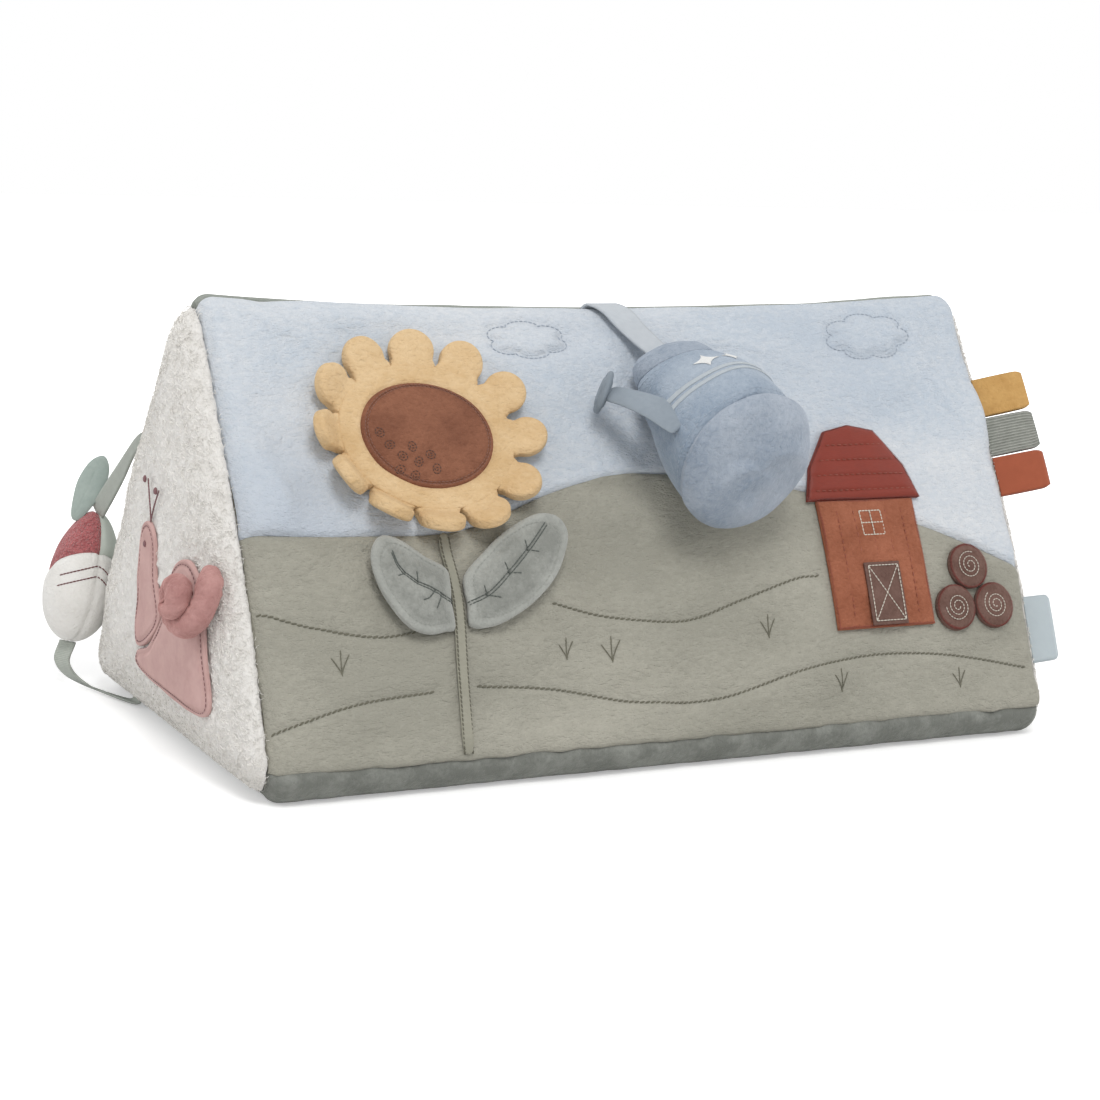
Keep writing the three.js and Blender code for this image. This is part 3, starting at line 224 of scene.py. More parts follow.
# Lasting dents in the filling: x, distance down, length, width, direction, depth
sky_dents = ((-161, 11, 17, 5, 0.55, 2.4), (-146, 24, 20, 7, 1.0, 1.3), (184, 34, 20, 7, 1.3, 1.6),
             (66, 17, 26, 7, 0.15, 1.4), (-22, 66, 22, 8, 0.9, 1.4), (78, 62, 24, 8, -0.7, 1.2),
             (-176, 72, 22, 8, 1.2, 1.3),
             (-168, 22, 26, 6, 0.5, -2.0), (-148, 40, 24, 6, 0.85, -1.5), (170, 48, 26, 6, 1.25, -2.0),
             (152, 62, 22, 7, 1.0, -1.4), (62, 32, 28, 7, 0.25, -1.8), (96, 46, 22, 7, 0.5, -1.3),
             (-62, 62, 20, 6, 1.1, -1.4), (-186, 92, 26, 6, 1.35, -1.6))

ridge_centre = height - ridge_radius
toe_centre = depth / 2 - base_radius
run = hypot(toe_centre, ridge_centre - base_radius)
slope_angle = arctan2(ridge_centre - base_radius, -toe_centre) - np.arccos((base_radius - ridge_radius) / run)
ridge_arc = ridge_radius * (pi / 2 - slope_angle)
straight = sqrt(run ** 2 - (base_radius - ridge_radius) ** 2)
slope_length = ridge_arc + straight + base_radius * slope_angle
heel_arc = base_radius * pi / 2


def unit(v):
    """Vectors drawn to a length of one"""
    return v / np.linalg.norm(v, axis=-1, keepdims=True)


def section(w):
    """Walks w down from the ridge: distance from the middle plane, height, and the way out"""
    upper = where(w < ridge_arc, pi / 2 - w / ridge_radius, slope_angle)
    lower = slope_angle - clip((w - ridge_arc - straight) / base_radius, 0, slope_angle + pi / 2)
    down = clip(w - ridge_arc, 0, straight)
    past = w > ridge_arc + straight
    a = ridge_radius * cos(upper) + down * sin(slope_angle)
    z = ridge_centre + ridge_radius * sin(upper) - down * cos(slope_angle)
    a = where(past, toe_centre + base_radius * cos(lower), a)
    z = where(past, base_radius + base_radius * sin(lower), z)
    a = a - clip(w - slope_length - heel_arc, 0, None)
    out = where(past, lower, upper)
    return a, z, cos(out), sin(out)


def cover(side, x, w, h):
    """A point of the cover, h above it: side is -1 at the front and 1 at the back"""
    x, w, h = np.broadcast_arrays(np.asarray(x, float), np.asarray(w, float), np.asarray(h, float))
    a, z, na, nz = section(w)
    along = minimum(1, np.abs(x) / (length / 2))
    arch = where(w < slope_length, sin(pi * clip(w / slope_length, 0, 1) ** crown_skew), 0)
    crown = (face_crown * (1 - along ** 3) + face_end_crown * along ** 3) * arch
    inward = clip(length / 2 - np.abs(x), 0, edge_radius)
    drop = edge_radius - sqrt(edge_radius ** 2 - (edge_radius - inward) ** 2)
    near = clip(1 - w / (slope_length * 0.3), 0, None)
    sag = ridge_sag * (1 - along ** 2.5) * near ** 2 * (3 - 2 * near)
    out = h + crown - drop
    return stack([x, side * (a + out * na), z + out * nz - sag], axis=-1)


def front(x, t, h):
    return cover(-1, x, t, h)


def way_out(x, t, side=-1):
    """The direction away from the cover at a point"""
    along = cover(side, x + 1, t, 0) - cover(side, x - 1, t, 0)
    down = cover(side, x, t + 1, 0) - cover(side, x, t - 1, 0)
    out = unit(np.cross(along, down))
    return where(out[..., 1:2] * side < 0, -out, out)


def axes_at(x, t):
    """Three ways from a point of the front: out of the cover, along the toy, and downhill"""
    lifted = way_out(x, t)
    along = unit(front(x + 1, t, 0) - front(x - 1, t, 0))
    downhill = np.cross(along, lifted)
    return lifted, along, downhill if downhill[2] < 0 else -downhill


def soft_noise(x, y, size, seed):
    """Smooth values from -1 to 1 that change over size millimetres"""
    lattice = np.random.default_rng(seed).uniform(-1, 1, (97, 97))
    u, v = x / size + 40.3, y / size + 40.7
    i, j = np.floor(u).astype(int), np.floor(v).astype(int)
    f, g = u - i, v - j
    f, g = f * f * (3 - 2 * f), g * g * (3 - 2 * g)
    a, b = lattice[i % 97, j % 97], lattice[(i + 1) % 97, j % 97]
    c, d = lattice[i % 97, (j + 1) % 97], lattice[(i + 1) % 97, (j + 1) % 97]
    return (a * (1 - f) + b * f) * (1 - g) + (c * (1 - f) + d * f) * g


def from_line(x, y, line):
    """The distance from each point to a line of points"""
    least = np.full(np.shape(x), 1e9)
    for p, q in zip(line[:-1], line[1:]):
        dx, dy = q[0] - p[0], q[1] - p[1]
        share = clip(((x - p[0]) * dx + (y - p[1]) * dy) / max(dx * dx + dy * dy, 1e-9), 0, 1)
        least = minimum(least, hypot(x - p[0] - share * dx, y - p[1] - share * dy))
    return least


def smooth_line(knots, steps):
    """A curve through knots, with a fixed count of steps"""
    p = array(knots, float)
    p = np.vstack([2 * p[0] - p[1], p, 2 * p[-1] - p[-2]])
    at = linspace(0, len(knots) - 1, steps)
    k = minimum(at.astype(int), len(knots) - 2)
    f = (at - k)[:, None]
    a, b, c, d = p[k], p[k + 1], p[k + 2], p[k + 3]
    return 0.5 * (2 * b + (c - a) * f + (2 * a - 5 * b + 4 * c - d) * f ** 2 + (3 * b - a - 3 * c + d) * f ** 3)


def points_of(piece):
    """The points of a mesh, in metres"""
    flat = np.empty(len(piece.data.vertices) * 3)
    piece.data.vertices.foreach_get("co", flat)
    return flat.reshape(-1, 3)


def set_points(piece, points):
    """Moves the points of a mesh to places in millimetres"""
    piece.data.vertices.foreach_set("co", (points * mm).ravel())
    piece.data.update()


def mark_points(piece, name, values):
    """Writes a point attribute for a material to read"""
    piece.data.attributes.new(name, "FLOAT", "POINT").data.foreach_set("value", values.astype(np.float32))


def grid(name, columns, rows, shape):
    """A cloth grid whose points go to shape(u, v), u and v from 0 to 1"""
    bpy.ops.object.select_all(action="DESELECT")
    bpy.ops.mesh.primitive_grid_add(x_subdivisions=columns, y_subdivisions=rows, size=1)
    piece = bpy.context.object
    piece.name = piece.data.name = name
    flat = points_of(piece) + 0.5
    set_points(piece, shape(flat[:, 0], flat[:, 1]))
    bpy.ops.object.shade_smooth()
    return piece


def face_out(piece, centre=(0, 0, 0.08)):
    """Turns the faces away from a point, which is the middle of the toy if none is given"""
    centre = Vector(centre)
    if sum((p.center - centre).dot(p.normal) * p.area for p in piece.data.polygons) < 0:
        piece.data.flip_normals()
    return piece


def settle(piece, made, body, slot, node=None, fill=None, onto=None, start=None, end=None):
    """Gives a piece its material and hides the node it stands for; it rides on its body, or is baked in place if joined
    onto another. Slot, fill, start and end are not used
    """
    piece.data.materials.append(made)
    if onto:
        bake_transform(piece)
    else:
        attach(piece, body)
    if node:
        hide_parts(node)


def apply(piece, kind, **settings):
    """Adds one modifier with its settings and applies it"""
    bpy.ops.object.select_all(action="DESELECT")
    bpy.context.view_layer.objects.active = piece
    piece.select_set(True)
    made = piece.modifiers.new(kind.lower(), kind)
    for key, value in settings.items():
        setattr(made, key, value)
    bpy.ops.object.modifier_apply(modifier=made.name)
    return piece


def new_group(name, values, outputs):
    """A node group that takes a vector, two colours and named values, with its input and output nodes"""
    group = bpy.data.node_groups.new(name, "ShaderNodeTree")
    kinds = {"Vector": "Vector", "Colour": "Color", "Shade": "Color", "Color": "Color", "Normal": "Vector"}
    for label in ("Vector", "Colour", "Shade", *values):
        kind = "NodeSocket" + kinds.get(label, "Float")
        socket = group.interface.new_socket(name=label, in_out="INPUT", socket_type=kind)
        if label in values:
            socket.default_value = values[label]
    for label in outputs:
        kind = "NodeSocket" + kinds.get(label, "Float")
        group.interface.new_socket(name=label, in_out="OUTPUT", socket_type=kind)
    return group, group.nodes.new("NodeGroupInput"), group.nodes.new("NodeGroupOutput")


def pile_group():
    """Short pile: broad patches where the nap lies differently, mottling, and fine fibres"""
    values = {"Patch Scale": 30.0, "Fibre Scale": 1500.0, "Depth": 0.0004, "Contrast": 0.5}
    group, given, made = new_group("short_pile", values, ("Color", "Normal", "Roughness"))
    patches = add(group, "TexNoise", {"Detail": 3})
    mottle = add(group, "TexNoise", {"Scale": 400, "Detail": 4})
    fibre = add(group, "TexNoise", {"Detail": 2})
    broad = add(group, "MapRange", {"From Min": 0.35, "From Max": 0.65})
    mixed = add(group, "Math", {1: 0.55}, operation="MULTIPLY_ADD")
    fine = add(group, "Math", {1: 0.75}, operation="MULTIPLY_ADD")
    half = add(group, "Math", {1: 0.4}, operation="MULTIPLY")
    weigh = add(group, "Math", operation="MULTIPLY")
    blend = add(group, "Mix", data_type="RGBA")
    bump = add(group, "Bump")
    rough = add(group, "MapRange", {"To Min": 0.78, "To Max": 0.98})
    wire(group, *((given, "Vector", texture, "Vector") for texture in (patches, mottle, fibre)),
         (given, "Patch Scale", patches, "Scale"), (given, "Fibre Scale", fibre, "Scale"),
         (patches, "Fac", broad, "Value"), (broad, "Result", mixed, 0), (mottle, "Fac", fine, 0),
         (fibre, "Fac", half, 0), (half, 0, fine, 2), (fine, 0, mixed, 2), (mixed, 0, weigh, 0),
         (given, "Contrast", weigh, 1), (weigh, 0, blend, "Factor"), (given, "Colour", blend, "A"),
         (given, "Shade", blend, "B"), (blend, "Result", made, "Color"), (fine, 0, bump, "Height"),
         (given, "Depth", bump, "Distance"), (bump, "Normal", made, "Normal"), (mottle, "Fac", rough, "Value"),
         (rough, "Result", made, "Roughness"))
    return group


short_pile = pile_group()


def plush(name, colour, shade, patch=30.0, fibre=1500.0, depth=0.0004, contrast=0.5, sheen=0.25, stretch=(1, 1, 1),
          shine=None):
    """A plush fabric: the short pile on a rough, softly shining ground"""
    made, tree, shader, place = new_material(name, 0.9, sheen, 0.45)
    shader.inputs["Sheen Tint"].default_value = (*(shine or [min(1, c * 1.3) for c in colour]), 1)
    laid = add(tree, "Mapping", {"Scale": stretch})
    nap = add(tree, "Group", {"Colour": (*colour, 1), "Shade": (*shade, 1), "Patch Scale": patch, "Fibre Scale": fibre,
                              "Depth": depth, "Contrast": contrast}, node_tree=short_pile)
    wire(tree, (place, "Object", laid, "Vector"), (laid, "Vector", nap, "Vector"),
         (nap, "Color", shader, "Base Color"), (nap, "Normal", shader, "Normal"),
         (nap, "Roughness", shader, "Roughness"))
    return made


def mix_by(made, attribute, colour):
    """Mixes a colour over a plush by a point attribute"""
    tree = made.node_tree
    shader = tree.nodes["Principled BSDF"]
    below = shader.inputs["Base Color"].links[0].from_node
    mark = add(tree, "Attribute", attribute_name=attribute)
    over = add(tree, "Mix", {"B": (*colour, 1)}, data_type="RGBA")
    wire(tree, (mark, "Fac", over, "Factor"), (below, "Color", over, "A"), (over, "Result", shader, "Base Color"))


def cloud_line(x, t, wide, tall, lobes, turned):
    """The scalloped outline of one quilted cloud"""
    angle = linspace(0, 2 * pi, 121)
    reach = 0.84 + 0.2 * np.abs(sin(lobes / 2 * (angle + turned))) ** 0.7
    return stack([x + wide * reach * cos(angle), t + tall * reach * sin(angle)], axis=-1)


horizon = smooth_line([(share * length / 2, down * slope_length) for share, down in horizon_shares], 61)
cloud_lines = [cloud_line(*cloud) for cloud in clouds]


def horizon_t(x):
    return interp(x, horizon[:, 0], horizon[:, 1])


def quilted(x, t, lines):
    """Stitching pulls the plush in along its line, and the stuffing rises inside a closed one"""
    h = np.zeros(np.shape(x))
    for line in lines:
        off = from_line(x, t, line)
        h -= quilt_depth * exp(-(off / quilt_width) ** 2)
        centre = line[:-1].mean(axis=0)
        angle = arctan2(t - centre[1], x - centre[0])
        edge = arctan2(line[:, 1] - centre[1], line[:, 0] - centre[0])
        order = np.argsort(edge)
        reach = hypot(line[:, 0] - centre[0], line[:, 1] - centre[1])
        inside = hypot(x - centre[0], t - centre[1]) < interp(angle, edge[order], reach[order], period=2 * pi)
        h += where(inside, quilt_puff * (1 - exp(-(off / 4) ** 2)), 0)
    return h


def slack(x, t, seed):
    """The loose waves of plush over a soft filling"""
    (high, size), (small_high, small_size) = slack_waves
    broad = high * soft_noise(x, t * 1.4, size, seed)
    return broad + small_high * soft_noise(x + 0.5 * t, t, small_size, seed + 1)


def over_foam(h):
    """Keeps the cover from sinking into the foam below it"""
    return where(h < -sink_free, -sink_free - sink_most * np.tanh((-sink_free - h) / sink_most), h)


def free_of(x, t):
    """0 under the sewn-on pieces and 1 away from them"""
    free = np.ones(np.shape(x))
    for spot_x, spot_t, wide, tall in held_spots:
        near = clip((hypot((x - spot_x) / wide, (t - spot_t) / tall) - 0.9) / 0.4, 0, 1)
        free = free * near * near * (3 - 2 * near)
    return free


def dented(x, t, dents):
    """The hollows of a list of dents"""
    h = np.zeros(np.shape(x))
    for dent_x, dent_t, long, wide, angle, deep in dents:
        dx, dt = x - dent_x, t - dent_t
        a = dx * cos(angle) + dt * sin(angle)
        b = dt * cos(angle) - dx * sin(angle)
        h = h - deep * exp(-(a / long) ** 2 - (b / wide) ** 2) * (1 - 0.9 * exp(-(b / wide - 0.9) ** 2))
    return h


def seam_dip(off, reach=3.2, deep=1.7):
    """Fabric rolls down into a seam"""
    return -deep * clip(1 - off / reach, 0, 1) ** 2


def end_pull(x, t, seed):
    """Small gathers that run in from the end seams"""
    inward = length / 2 - np.abs(x)
    return exp(-inward / 11) * soft_noise(t, np.sign(x) * 50, 8, seed)


def sky_relief(x, t):
    edge = horizon_t(x) - gap / 2
    h = (slack(x, t, 3) * clip(t / 25, 0.2, 1) + dented(x, t, sky_dents)) * free_of(x, t) + end_pull(x, t, 5)
    pucker = 0.5 * exp(-(edge - t) / 7) * soft_noise(x, t * 0.3, 8, 7) * free_of(x, t)
    h = over_foam(h + quilted(x, t, cloud_lines) + seam_dip(edge - t) + seam_dip(t, 2.5, 1.0) + pucker)
    return h - tucked * clip((t - edge + tucked) / tucked, 0, 1)


def sky_shape(u, v):
    x = (u - 0.5) * (length + 2 * tucked)
    edge = horizon_t(x) + tucked
    t = -tucked / 2 + (edge + tucked / 2) * v
    return front(x, t, sky_relief(x, t))


sky_plush = plush("sky_plush", sky_colour, sky_shade, patch=11, fibre=1300, contrast=0.9, depth=0.0015,
                  stretch=(0.6, 1, 1.3))
# where the nap lies the other way, and painted shade at the lower left and beside the flower, as (x, t, half width,
# half height, share)
nap_and_shade_spots = ((-178, 105, 36, 48, 0.8), (-62, 112, 34, 24, 0.5), (120, 30, 45, 26, 0.3), (-20, 20, 40, 16, 0.25))
nap_and_shade_colour = (0.440, 0.492, 0.565)


def sky_nap_and_shade(x, t):
    lay = np.zeros(np.shape(x))
    for spot_x, spot_t, wide, tall, share in nap_and_shade_spots:
        lay = maximum(lay, share * exp(-((x - spot_x) / wide) ** 2 - ((t - spot_t) / tall) ** 2))
    return lay


# the sky plush goes darker and bluer by the point attribute lay: partly the nap laid the other way, partly painted
# shade
mix_by(sky_plush, "lay", nap_and_shade_colour)
sky = face_out(grid("sky_panel", front_columns, front_rows, sky_shape))
places = points_of(sky) / mm
mark_points(sky, "lay", sky_nap_and_shade(places[:, 0], (height - places[:, 2]) / height * slope_length))
apply(sky, "SOLIDIFY", thickness=fabric * mm, offset=-1)
settle(sky, sky_plush, "bolster", "sky_minky", "front_sky_panel", 0.8)

# Stitching: embroidery thread in rows of short raised stitches. One stitch is modelled once
# and repeated along every sewn line.
bpy.ops.object.select_all(action="DESELECT")
bpy.ops.mesh.primitive_uv_sphere_add(segments=6, ring_count=4, radius=0.5)
pattern = bpy.context.object
stitch_points = array([v.co for v in pattern.data.vertices])
stitch_points = stitch_points[:, [2, 0, 1]]
stitch_faces = [tuple(p.vertices) for p in pattern.data.polygons]
bpy.data.objects.remove(pattern)


def thread(name, colour, dark, shine=0.55):
    """Embroidery thread: fine twisted strands with a soft shine"""
    made, tree, shader, place = new_material(name, shine, 0.15)
    twist = add(tree, "TexWave", {"Scale": 900, "Distortion": 4})
    wire(tree, (place, "Object", twist, "Vector"))
    colour_by(tree, shader, twist, "Fac", dark, colour)
    raise_by(tree, shader, twist, "Fac", 0.00008)
    return made


def steps_of(line):
    """The distance walked along a line at each of its points"""
    return np.r_[0, np.cumsum(np.linalg.norm(np.diff(line, axis=0), axis=1))]


def read_line(at, steps, line):
    """The points of a line at given places along its steps"""
    return stack([interp(at, steps, column) for column in line.T], axis=-1)


def new_piece(name, points, faces):
    """A piece from its points in millimetres and its faces"""
    mesh = bpy.data.meshes.new(name)
    mesh.from_pydata((points * mm).tolist(), [], faces)
    piece = bpy.data.objects.new(name, mesh)
    bpy.context.scene.collection.objects.link(piece)
    return piece


def sew(name, lines, made, body, slot, long=2.6, wide=0.7, between=0.4, tilt=0.0, raised=0.1, **joined):
    """Stitches along lines, each line given as its points and the way out at each of them"""
    all_points, all_faces = [], []
    for points, outs in lines:
        points, outs = np.asarray(points, float), np.asarray(outs, float)
        steps = steps_of(points)
        count = max(1, int(round(steps[-1] / (long + between))))
        at = (np.arange(count) + 0.5) * steps[-1] / count
        ahead = unit(read_line(at + 0.4, steps, points) - read_line(at - 0.4, steps, points))
        for c, d, n in zip(read_line(at, steps, points), ahead, unit(read_line(at, steps, outs))):
            d = d - n * d.dot(n)
            s = np.cross(n, d)
            d, s = d * cos(tilt) + s * sin(tilt), s * cos(tilt) - d * sin(tilt)
            start = len(all_points) * len(stitch_points)
            all_points.append(
                c + n * raised + stitch_points[:, :1] * d * long + stitch_points[:, 1:2] * s * wide
                + stitch_points[:, 2:] * n * wide * 0.8
            )
            all_faces.extend(tuple(start + i for i in f) for f in stitch_faces)
    piece = new_piece(name, np.concatenate(all_points), all_faces)
    bpy.context.view_layer.update()
    middle = Vector(all_points[0].mean(axis=0) * mm)
    for face in piece.data.polygons:
        face.use_smooth = True
    if sum((p.center - middle).dot(p.normal) * p.area for p in piece.data.polygons[:len(stitch_faces)]) < 0:
        piece.data.flip_normals()
    settle(piece, made, body, slot, **joined)


def on_cover(x, t, h):
    """Points on the front, h off the cover, and the way out there"""
    return front(x, t, h), way_out(x, t)


def on_front(line, relief):
    """A line on one of the front panels, a little off its plush"""
    return on_cover(line[:, 0], line[:, 1], relief(line[:, 0], line[:, 1]) + 0.1)


pale_thread = thread("sky_thread", (0.44, 0.49, 0.56), (0.30, 0.35, 0.42))
cloud_rows = [on_front(line, sky_relief) for line in cloud_lines]
sew("cloud_stitches", cloud_rows, pale_thread, "bolster", "sky_minky", long=2.0, wide=0.55, between=0.35, raised=0.15)

# Lower front panel: grey-green plush for the hills. Two contour lines of rope stitch cross it,
# with tufts of grass in satin stitch.
hill_colour = (0.475, 0.458, 0.392)
hill_shade = (0.312, 0.304, 0.256)
olive, olive_dark = (0.190, 0.182, 0.132), (0.105, 0.102, 0.074)
hill_dents = ((-182, 206, 15, 6, 1.2, 1.6), (-84, 214, 13, 6, 1.4, 1.5), (12, 212, 14, 6, 1.7, 1.5),
              (70, 213, 14, 6, 1.3, 1.5), (148, 214, 13, 6, 1.5, 1.5), (188, 165, 18, 7, 1.3, 1.5),
              (-30, 140, 26, 8, 0.2, 1.2), (60, 176, 28, 9, -0.4, 1.2), (-182, 150, 20, 7, 1.3, 1.4),
              (150, 198, 26, 7, 0.3, -1.8), (-34, 192, 30, 8, -0.15, -1.6), (62, 198, 28, 7, 0.2, -1.6),
              (-176, 180, 22, 7, 1.0, -1.6), (187, 186, 20, 6, 1.2, -1.8), (-150, 206, 22, 6, 0.3, -1.4))
contours = (
    ((-199, 152), (-176, 160), (-146, 166), (-116, 163)),
    ((-62, 156), (-30, 165), (4, 168), (36, 160), (66, 152), (80, 151)),
    ((-199, 203), (-160, 194), (-124, 191)),
    ((-104, 190), (-66, 194), (-24, 203), (18, 204), (62, 195), (104, 190), (150, 193), (199, 203)),
)
contour_deep, contour_width, base_gather = 1.1, 2.6, 1.5
# Each tuft of grass: x, distance down, size
tufts = ((-166, 181, 1), (-58, 181, 0.9), (-36, 184, 1.1), (48, 178, 1), (82, 206, 1), (152, 208, 0.9))


def hill_relief(x, t):
    edge = horizon_t(x) + gap / 2
    h = slack(x, t, 13) * clip((slope_length - t) / 14, 0.25, 1) + dented(x, t, hill_dents)
    h = h * free_of(x, t) + end_pull(x, t, 15)
    for line in contour_lines:
        h -= contour_deep * exp(-(from_line(x, t, line) / contour_width) ** 2)
    gather = exp(-(slope_length - t) / 13) * soft_noise(x, t * 0.3, 9, 17)
    pucker = 0.5 * exp(-(t - edge) / 7) * soft_noise(x, t * 0.3, 8, 18) * free_of(x, t)
    h = h + seam_dip(t - edge, 3.2, 1.3) + seam_dip(slope_length - t, 2.6, 1.2) + base_gather * gather + pucker
    h = over_foam(h)
    near = clip(1 - (t - edge) / seam_blend, 0, 1) ** 2
    return h * (1 - near) + (sky_relief(x, edge + tucked) + seam_lap) * near


contour_lines = [smooth_line(line, 50) for line in contours]


def hill_shape(u, v):
    x = (u - 0.5) * (length + 2 * tucked)
    edge = horizon_t(x) + gap / 2
    t = edge + (slope_length - edge) * v
    return front(x, t, hill_relief(x, t))


hill_plush = plush("hill_plush", hill_colour, hill_shade, patch=17, fibre=1300, contrast=0.9, depth=0.0017,
                   stretch=(0.6, 1, 1.3))
hills = face_out(grid("hill_panel", front_columns, front_rows, hill_shape))
apply(hills, "SOLIDIFY", thickness=fabric * mm, offset=-1)
settle(hills, hill_plush, "bolster", "hill_minky", "front_hill_panel", 0.8)

olive_thread = thread("olive_thread", olive, olive_dark)
contour_rows = [on_front(line, hill_relief) for line in contour_lines]
sew("hill_line_stitches", contour_rows, olive_thread, "bolster", "hill_minky", long=2.8, wide=1.0, between=-0.2,
    tilt=0.3)

tuft_rows = []
for x, t, size in tufts:
    for lean, tall in ((-0.55, 7), (0.05, 10), (0.5, 8)):
        share = linspace(0, 1, 6)
        blade = stack([x + size * tall * lean * share ** 1.3, t - size * tall * share], axis=-1)
        tuft_rows.append(on_front(blade, hill_relief))
sew("grass_stitches", tuft_rows, olive_thread, "bolster", "hill_minky", long=3.4, wide=0.62, between=-1.2)

# Back panel: one piece of grey-green plush from the ridge seam down to the base seam,
# a little fuller than the front, with gathers along the base.
back_colour, back_shade = (0.375, 0.395, 0.360), (0.265, 0.285, 0.258)


def back_shape(u, v):
    x = (0.5 - u) * length
    w = -tucked / 2 + (slope_length + tucked / 2) * v
    h = slack(x, w, 23) * clip(w / 25, 0, 1) * clip((slope_length - w) / 14, 0.25, 1) + end_pull(x, w, 25)
    h += seam_dip(w, 2.5, 1.0) + seam_dip(slope_length - w, 2.6, 1.2)
    h += 1.1 * exp(-(slope_length - w) / 13) * soft_noise(x, w * 0.3, 9, 27)
    return cover(1, x, w, over_foam(h))


back_plush = plush("back_plush", back_colour, back_shade, patch=17, fibre=1300, contrast=0.9, depth=0.0017,
                   stretch=(0.6, 1, 1.3))
back_side = face_out(grid("back_cover", 260, 140, back_shape))
apply(back_side, "SOLIDIFY", thickness=fabric * mm, offset=-1)
settle(back_side, back_plush, "bolster", "back_minky", "back_panel", 0.8)

# Base panel: darker velvet that wraps both lower edges and gathers a little along its seams.
velvet_colour, velvet_shade = (0.340, 0.350, 0.322), (0.165, 0.172, 0.155)
base_half = heel_arc + toe_centre


def base_shape(u, v):
    x = (u - 0.5) * (length + 2 * tucked)
    along = (2 * v - 1) * (base_half + tucked)
    side = where(along < 0, -1.0, 1.0)
    w = slope_length + base_half - np.abs(along)
    off = maximum(w - slope_length, 0)
    gather = soft_noise(x + 3 * side, w * 0.35, 7.5, 37) + 0.6 * soft_noise(x, w * 0.5, 15, 38)
    h = 0.8 * exp(-off / 12) * gather * clip(off / 2, 0, 1) + seam_dip(off, 3, 1.4)
    h += where(off > heel_arc, -0.2, 0) + end_pull(x, w, 39) * clip(1 - (off - heel_arc) / 5, 0, 1)
    h = over_foam(h) - 0.5 * (w < slope_length)
    points = cover(side, x, w, h)
    points[:, 2] = maximum(points[:, 2], 0)
    return points


velvet = plush("base_velvet", velvet_colour, velvet_shade, patch=70, fibre=1400, contrast=1.0, depth=0.0009, sheen=0.6)
base = face_out(grid("base_cover", 300, 120, base_shape))
apply(base, "SOLIDIFY", thickness=fabric * mm, offset=-1)
settle(base, velvet, "bolster", "base_velvet", "base_panel", 0.8)

# End panels: cream teddy fabric, a long curly pile on a knitted ground, crowned by the
# filling. Its curls stand over the seams and make a woolly outline.
teddy_colour, teddy_shade = (0.790, 0.772, 0.742), (0.705, 0.684, 0.650)
# the crown's middle as a share of the height, and the share of its rings on the outer side
end_share, outer_rings = 0.34, 0.86
curl_high, tuft_deep = 0.0019, 0.0007


def ball(name, segments, rings, shape):
    """A closed round form whose points go to shape(round, down): the share of a turn and the way from pole to pole"""
    bpy.ops.object.select_all(action="DESELECT")
    bpy.ops.mesh.primitive_uv_sphere_add(segments=segments, ring_count=rings, radius=1)
    piece = bpy.context.object
    piece.name = piece.data.name = name
    co = points_of(piece)
    placed = shape((arctan2(co[:, 1], co[:, 0]) / (2 * pi)) % 1, np.arccos(clip(co[:, 2], -1, 1)) / pi)
    set_points(piece, placed)
    bpy.ops.object.shade_smooth()
    return face_out(piece, placed.mean(axis=0) * mm)


def outline_at(around, out=0.0):
    """A point of the section's outline, all the way round from the ridge down the front"""
    whole = slope_length + heel_arc + toe_centre
    walked = around * 2 * whole
    side = where(walked < whole, -1.0, 1.0)
    w = where(walked < whole, walked, 2 * whole - walked)
    return cover(side, np.full(np.shape(around), length / 2), w, out)[:, 1:]


def end_shape(side):
    def shape(around, down):
        share = where(down < outer_rings, down / outer_rings, (1 - down) / (1 - outer_rings))
        edge = outline_at(around, 1.2)
        middle = array([0, end_share * height])
        y, z = (middle + (edge - middle) * share[:, None]).T
        full = (1 - minimum(1, share) ** 3) ** 0.5 if side < 0 else (1 - minimum(1, share) ** 2.2) ** 0.85
        rolled = seam_rim * minimum(1, share) ** 14
        outer = length / 2 + seam_rim + (end_crown - seam_rim) * full - rolled
        inner = length / 2 + gap + (end_crown - pile) * sqrt(1 - clip(share / 0.87, 0, 1) ** 3)
        bumps = 1.3 * soft_noise(y, z, 26, 43) + 0.5 * soft_noise(y, z, 11, 44)
        outer = outer + bumps * clip((1 - share) * 6, 0, 1)
        x = side * where(down < outer_rings, outer, inner)
        return stack([x, y, z], axis=-1)
    return shape


def curl_group():
    """Curls of pile: rounded tufts a few millimetres wide, broken by finer loops, with painted shade in the hollows
    between them
    """
    group, given, made = new_group("curly_pile", {"Curl Scale": 260.0, "Depth": 0.0012}, ("Color", "Normal"))
    warp = add(group, "TexNoise", {"Scale": 420, "Detail": 4})
    moved = add(group, "Mix", {"Factor": 0.006}, data_type="VECTOR")
    tufts = add(group, "TexVoronoi", {"Smoothness": 0.6}, feature="SMOOTH_F1")
    loops = add(group, "TexNoise", {"Scale": 1100, "Detail": 3})
    # painted shade: the colour follows the tufts' height and goes to the Shade colour in the hollows between them
    tuft_height_and_shade = add(group, "Math", {1: -1.1}, operation="MULTIPLY_ADD")
    shade = add(group, "MapRange", {"From Min": -0.55, "From Max": 0.25})
    blend = add(group, "Mix", data_type="RGBA")
    bump = add(group, "Bump")
    wire(group, (given, "Vector", warp, "Vector"), (given, "Vector", moved, "A"), (warp, "Color", moved, "B"),
         (moved, "Result", tufts, "Vector"), (given, "Curl Scale", tufts, "Scale"),
         (given, "Vector", loops, "Vector"), (tufts, "Distance", tuft_height_and_shade, 0), (loops, "Fac", tuft_height_and_shade, 2),
         (tuft_height_and_shade, 0, shade, "Value"), (shade, "Result", blend, "Factor"), (given, "Shade", blend, "A"),
         (given, "Colour", blend, "B"), (blend, "Result", made, "Color"), (tuft_height_and_shade, 0, bump, "Height"),
         (given, "Depth", bump, "Distance"), (bump, "Normal", made, "Normal"))
    return group


curly_pile = curl_group()


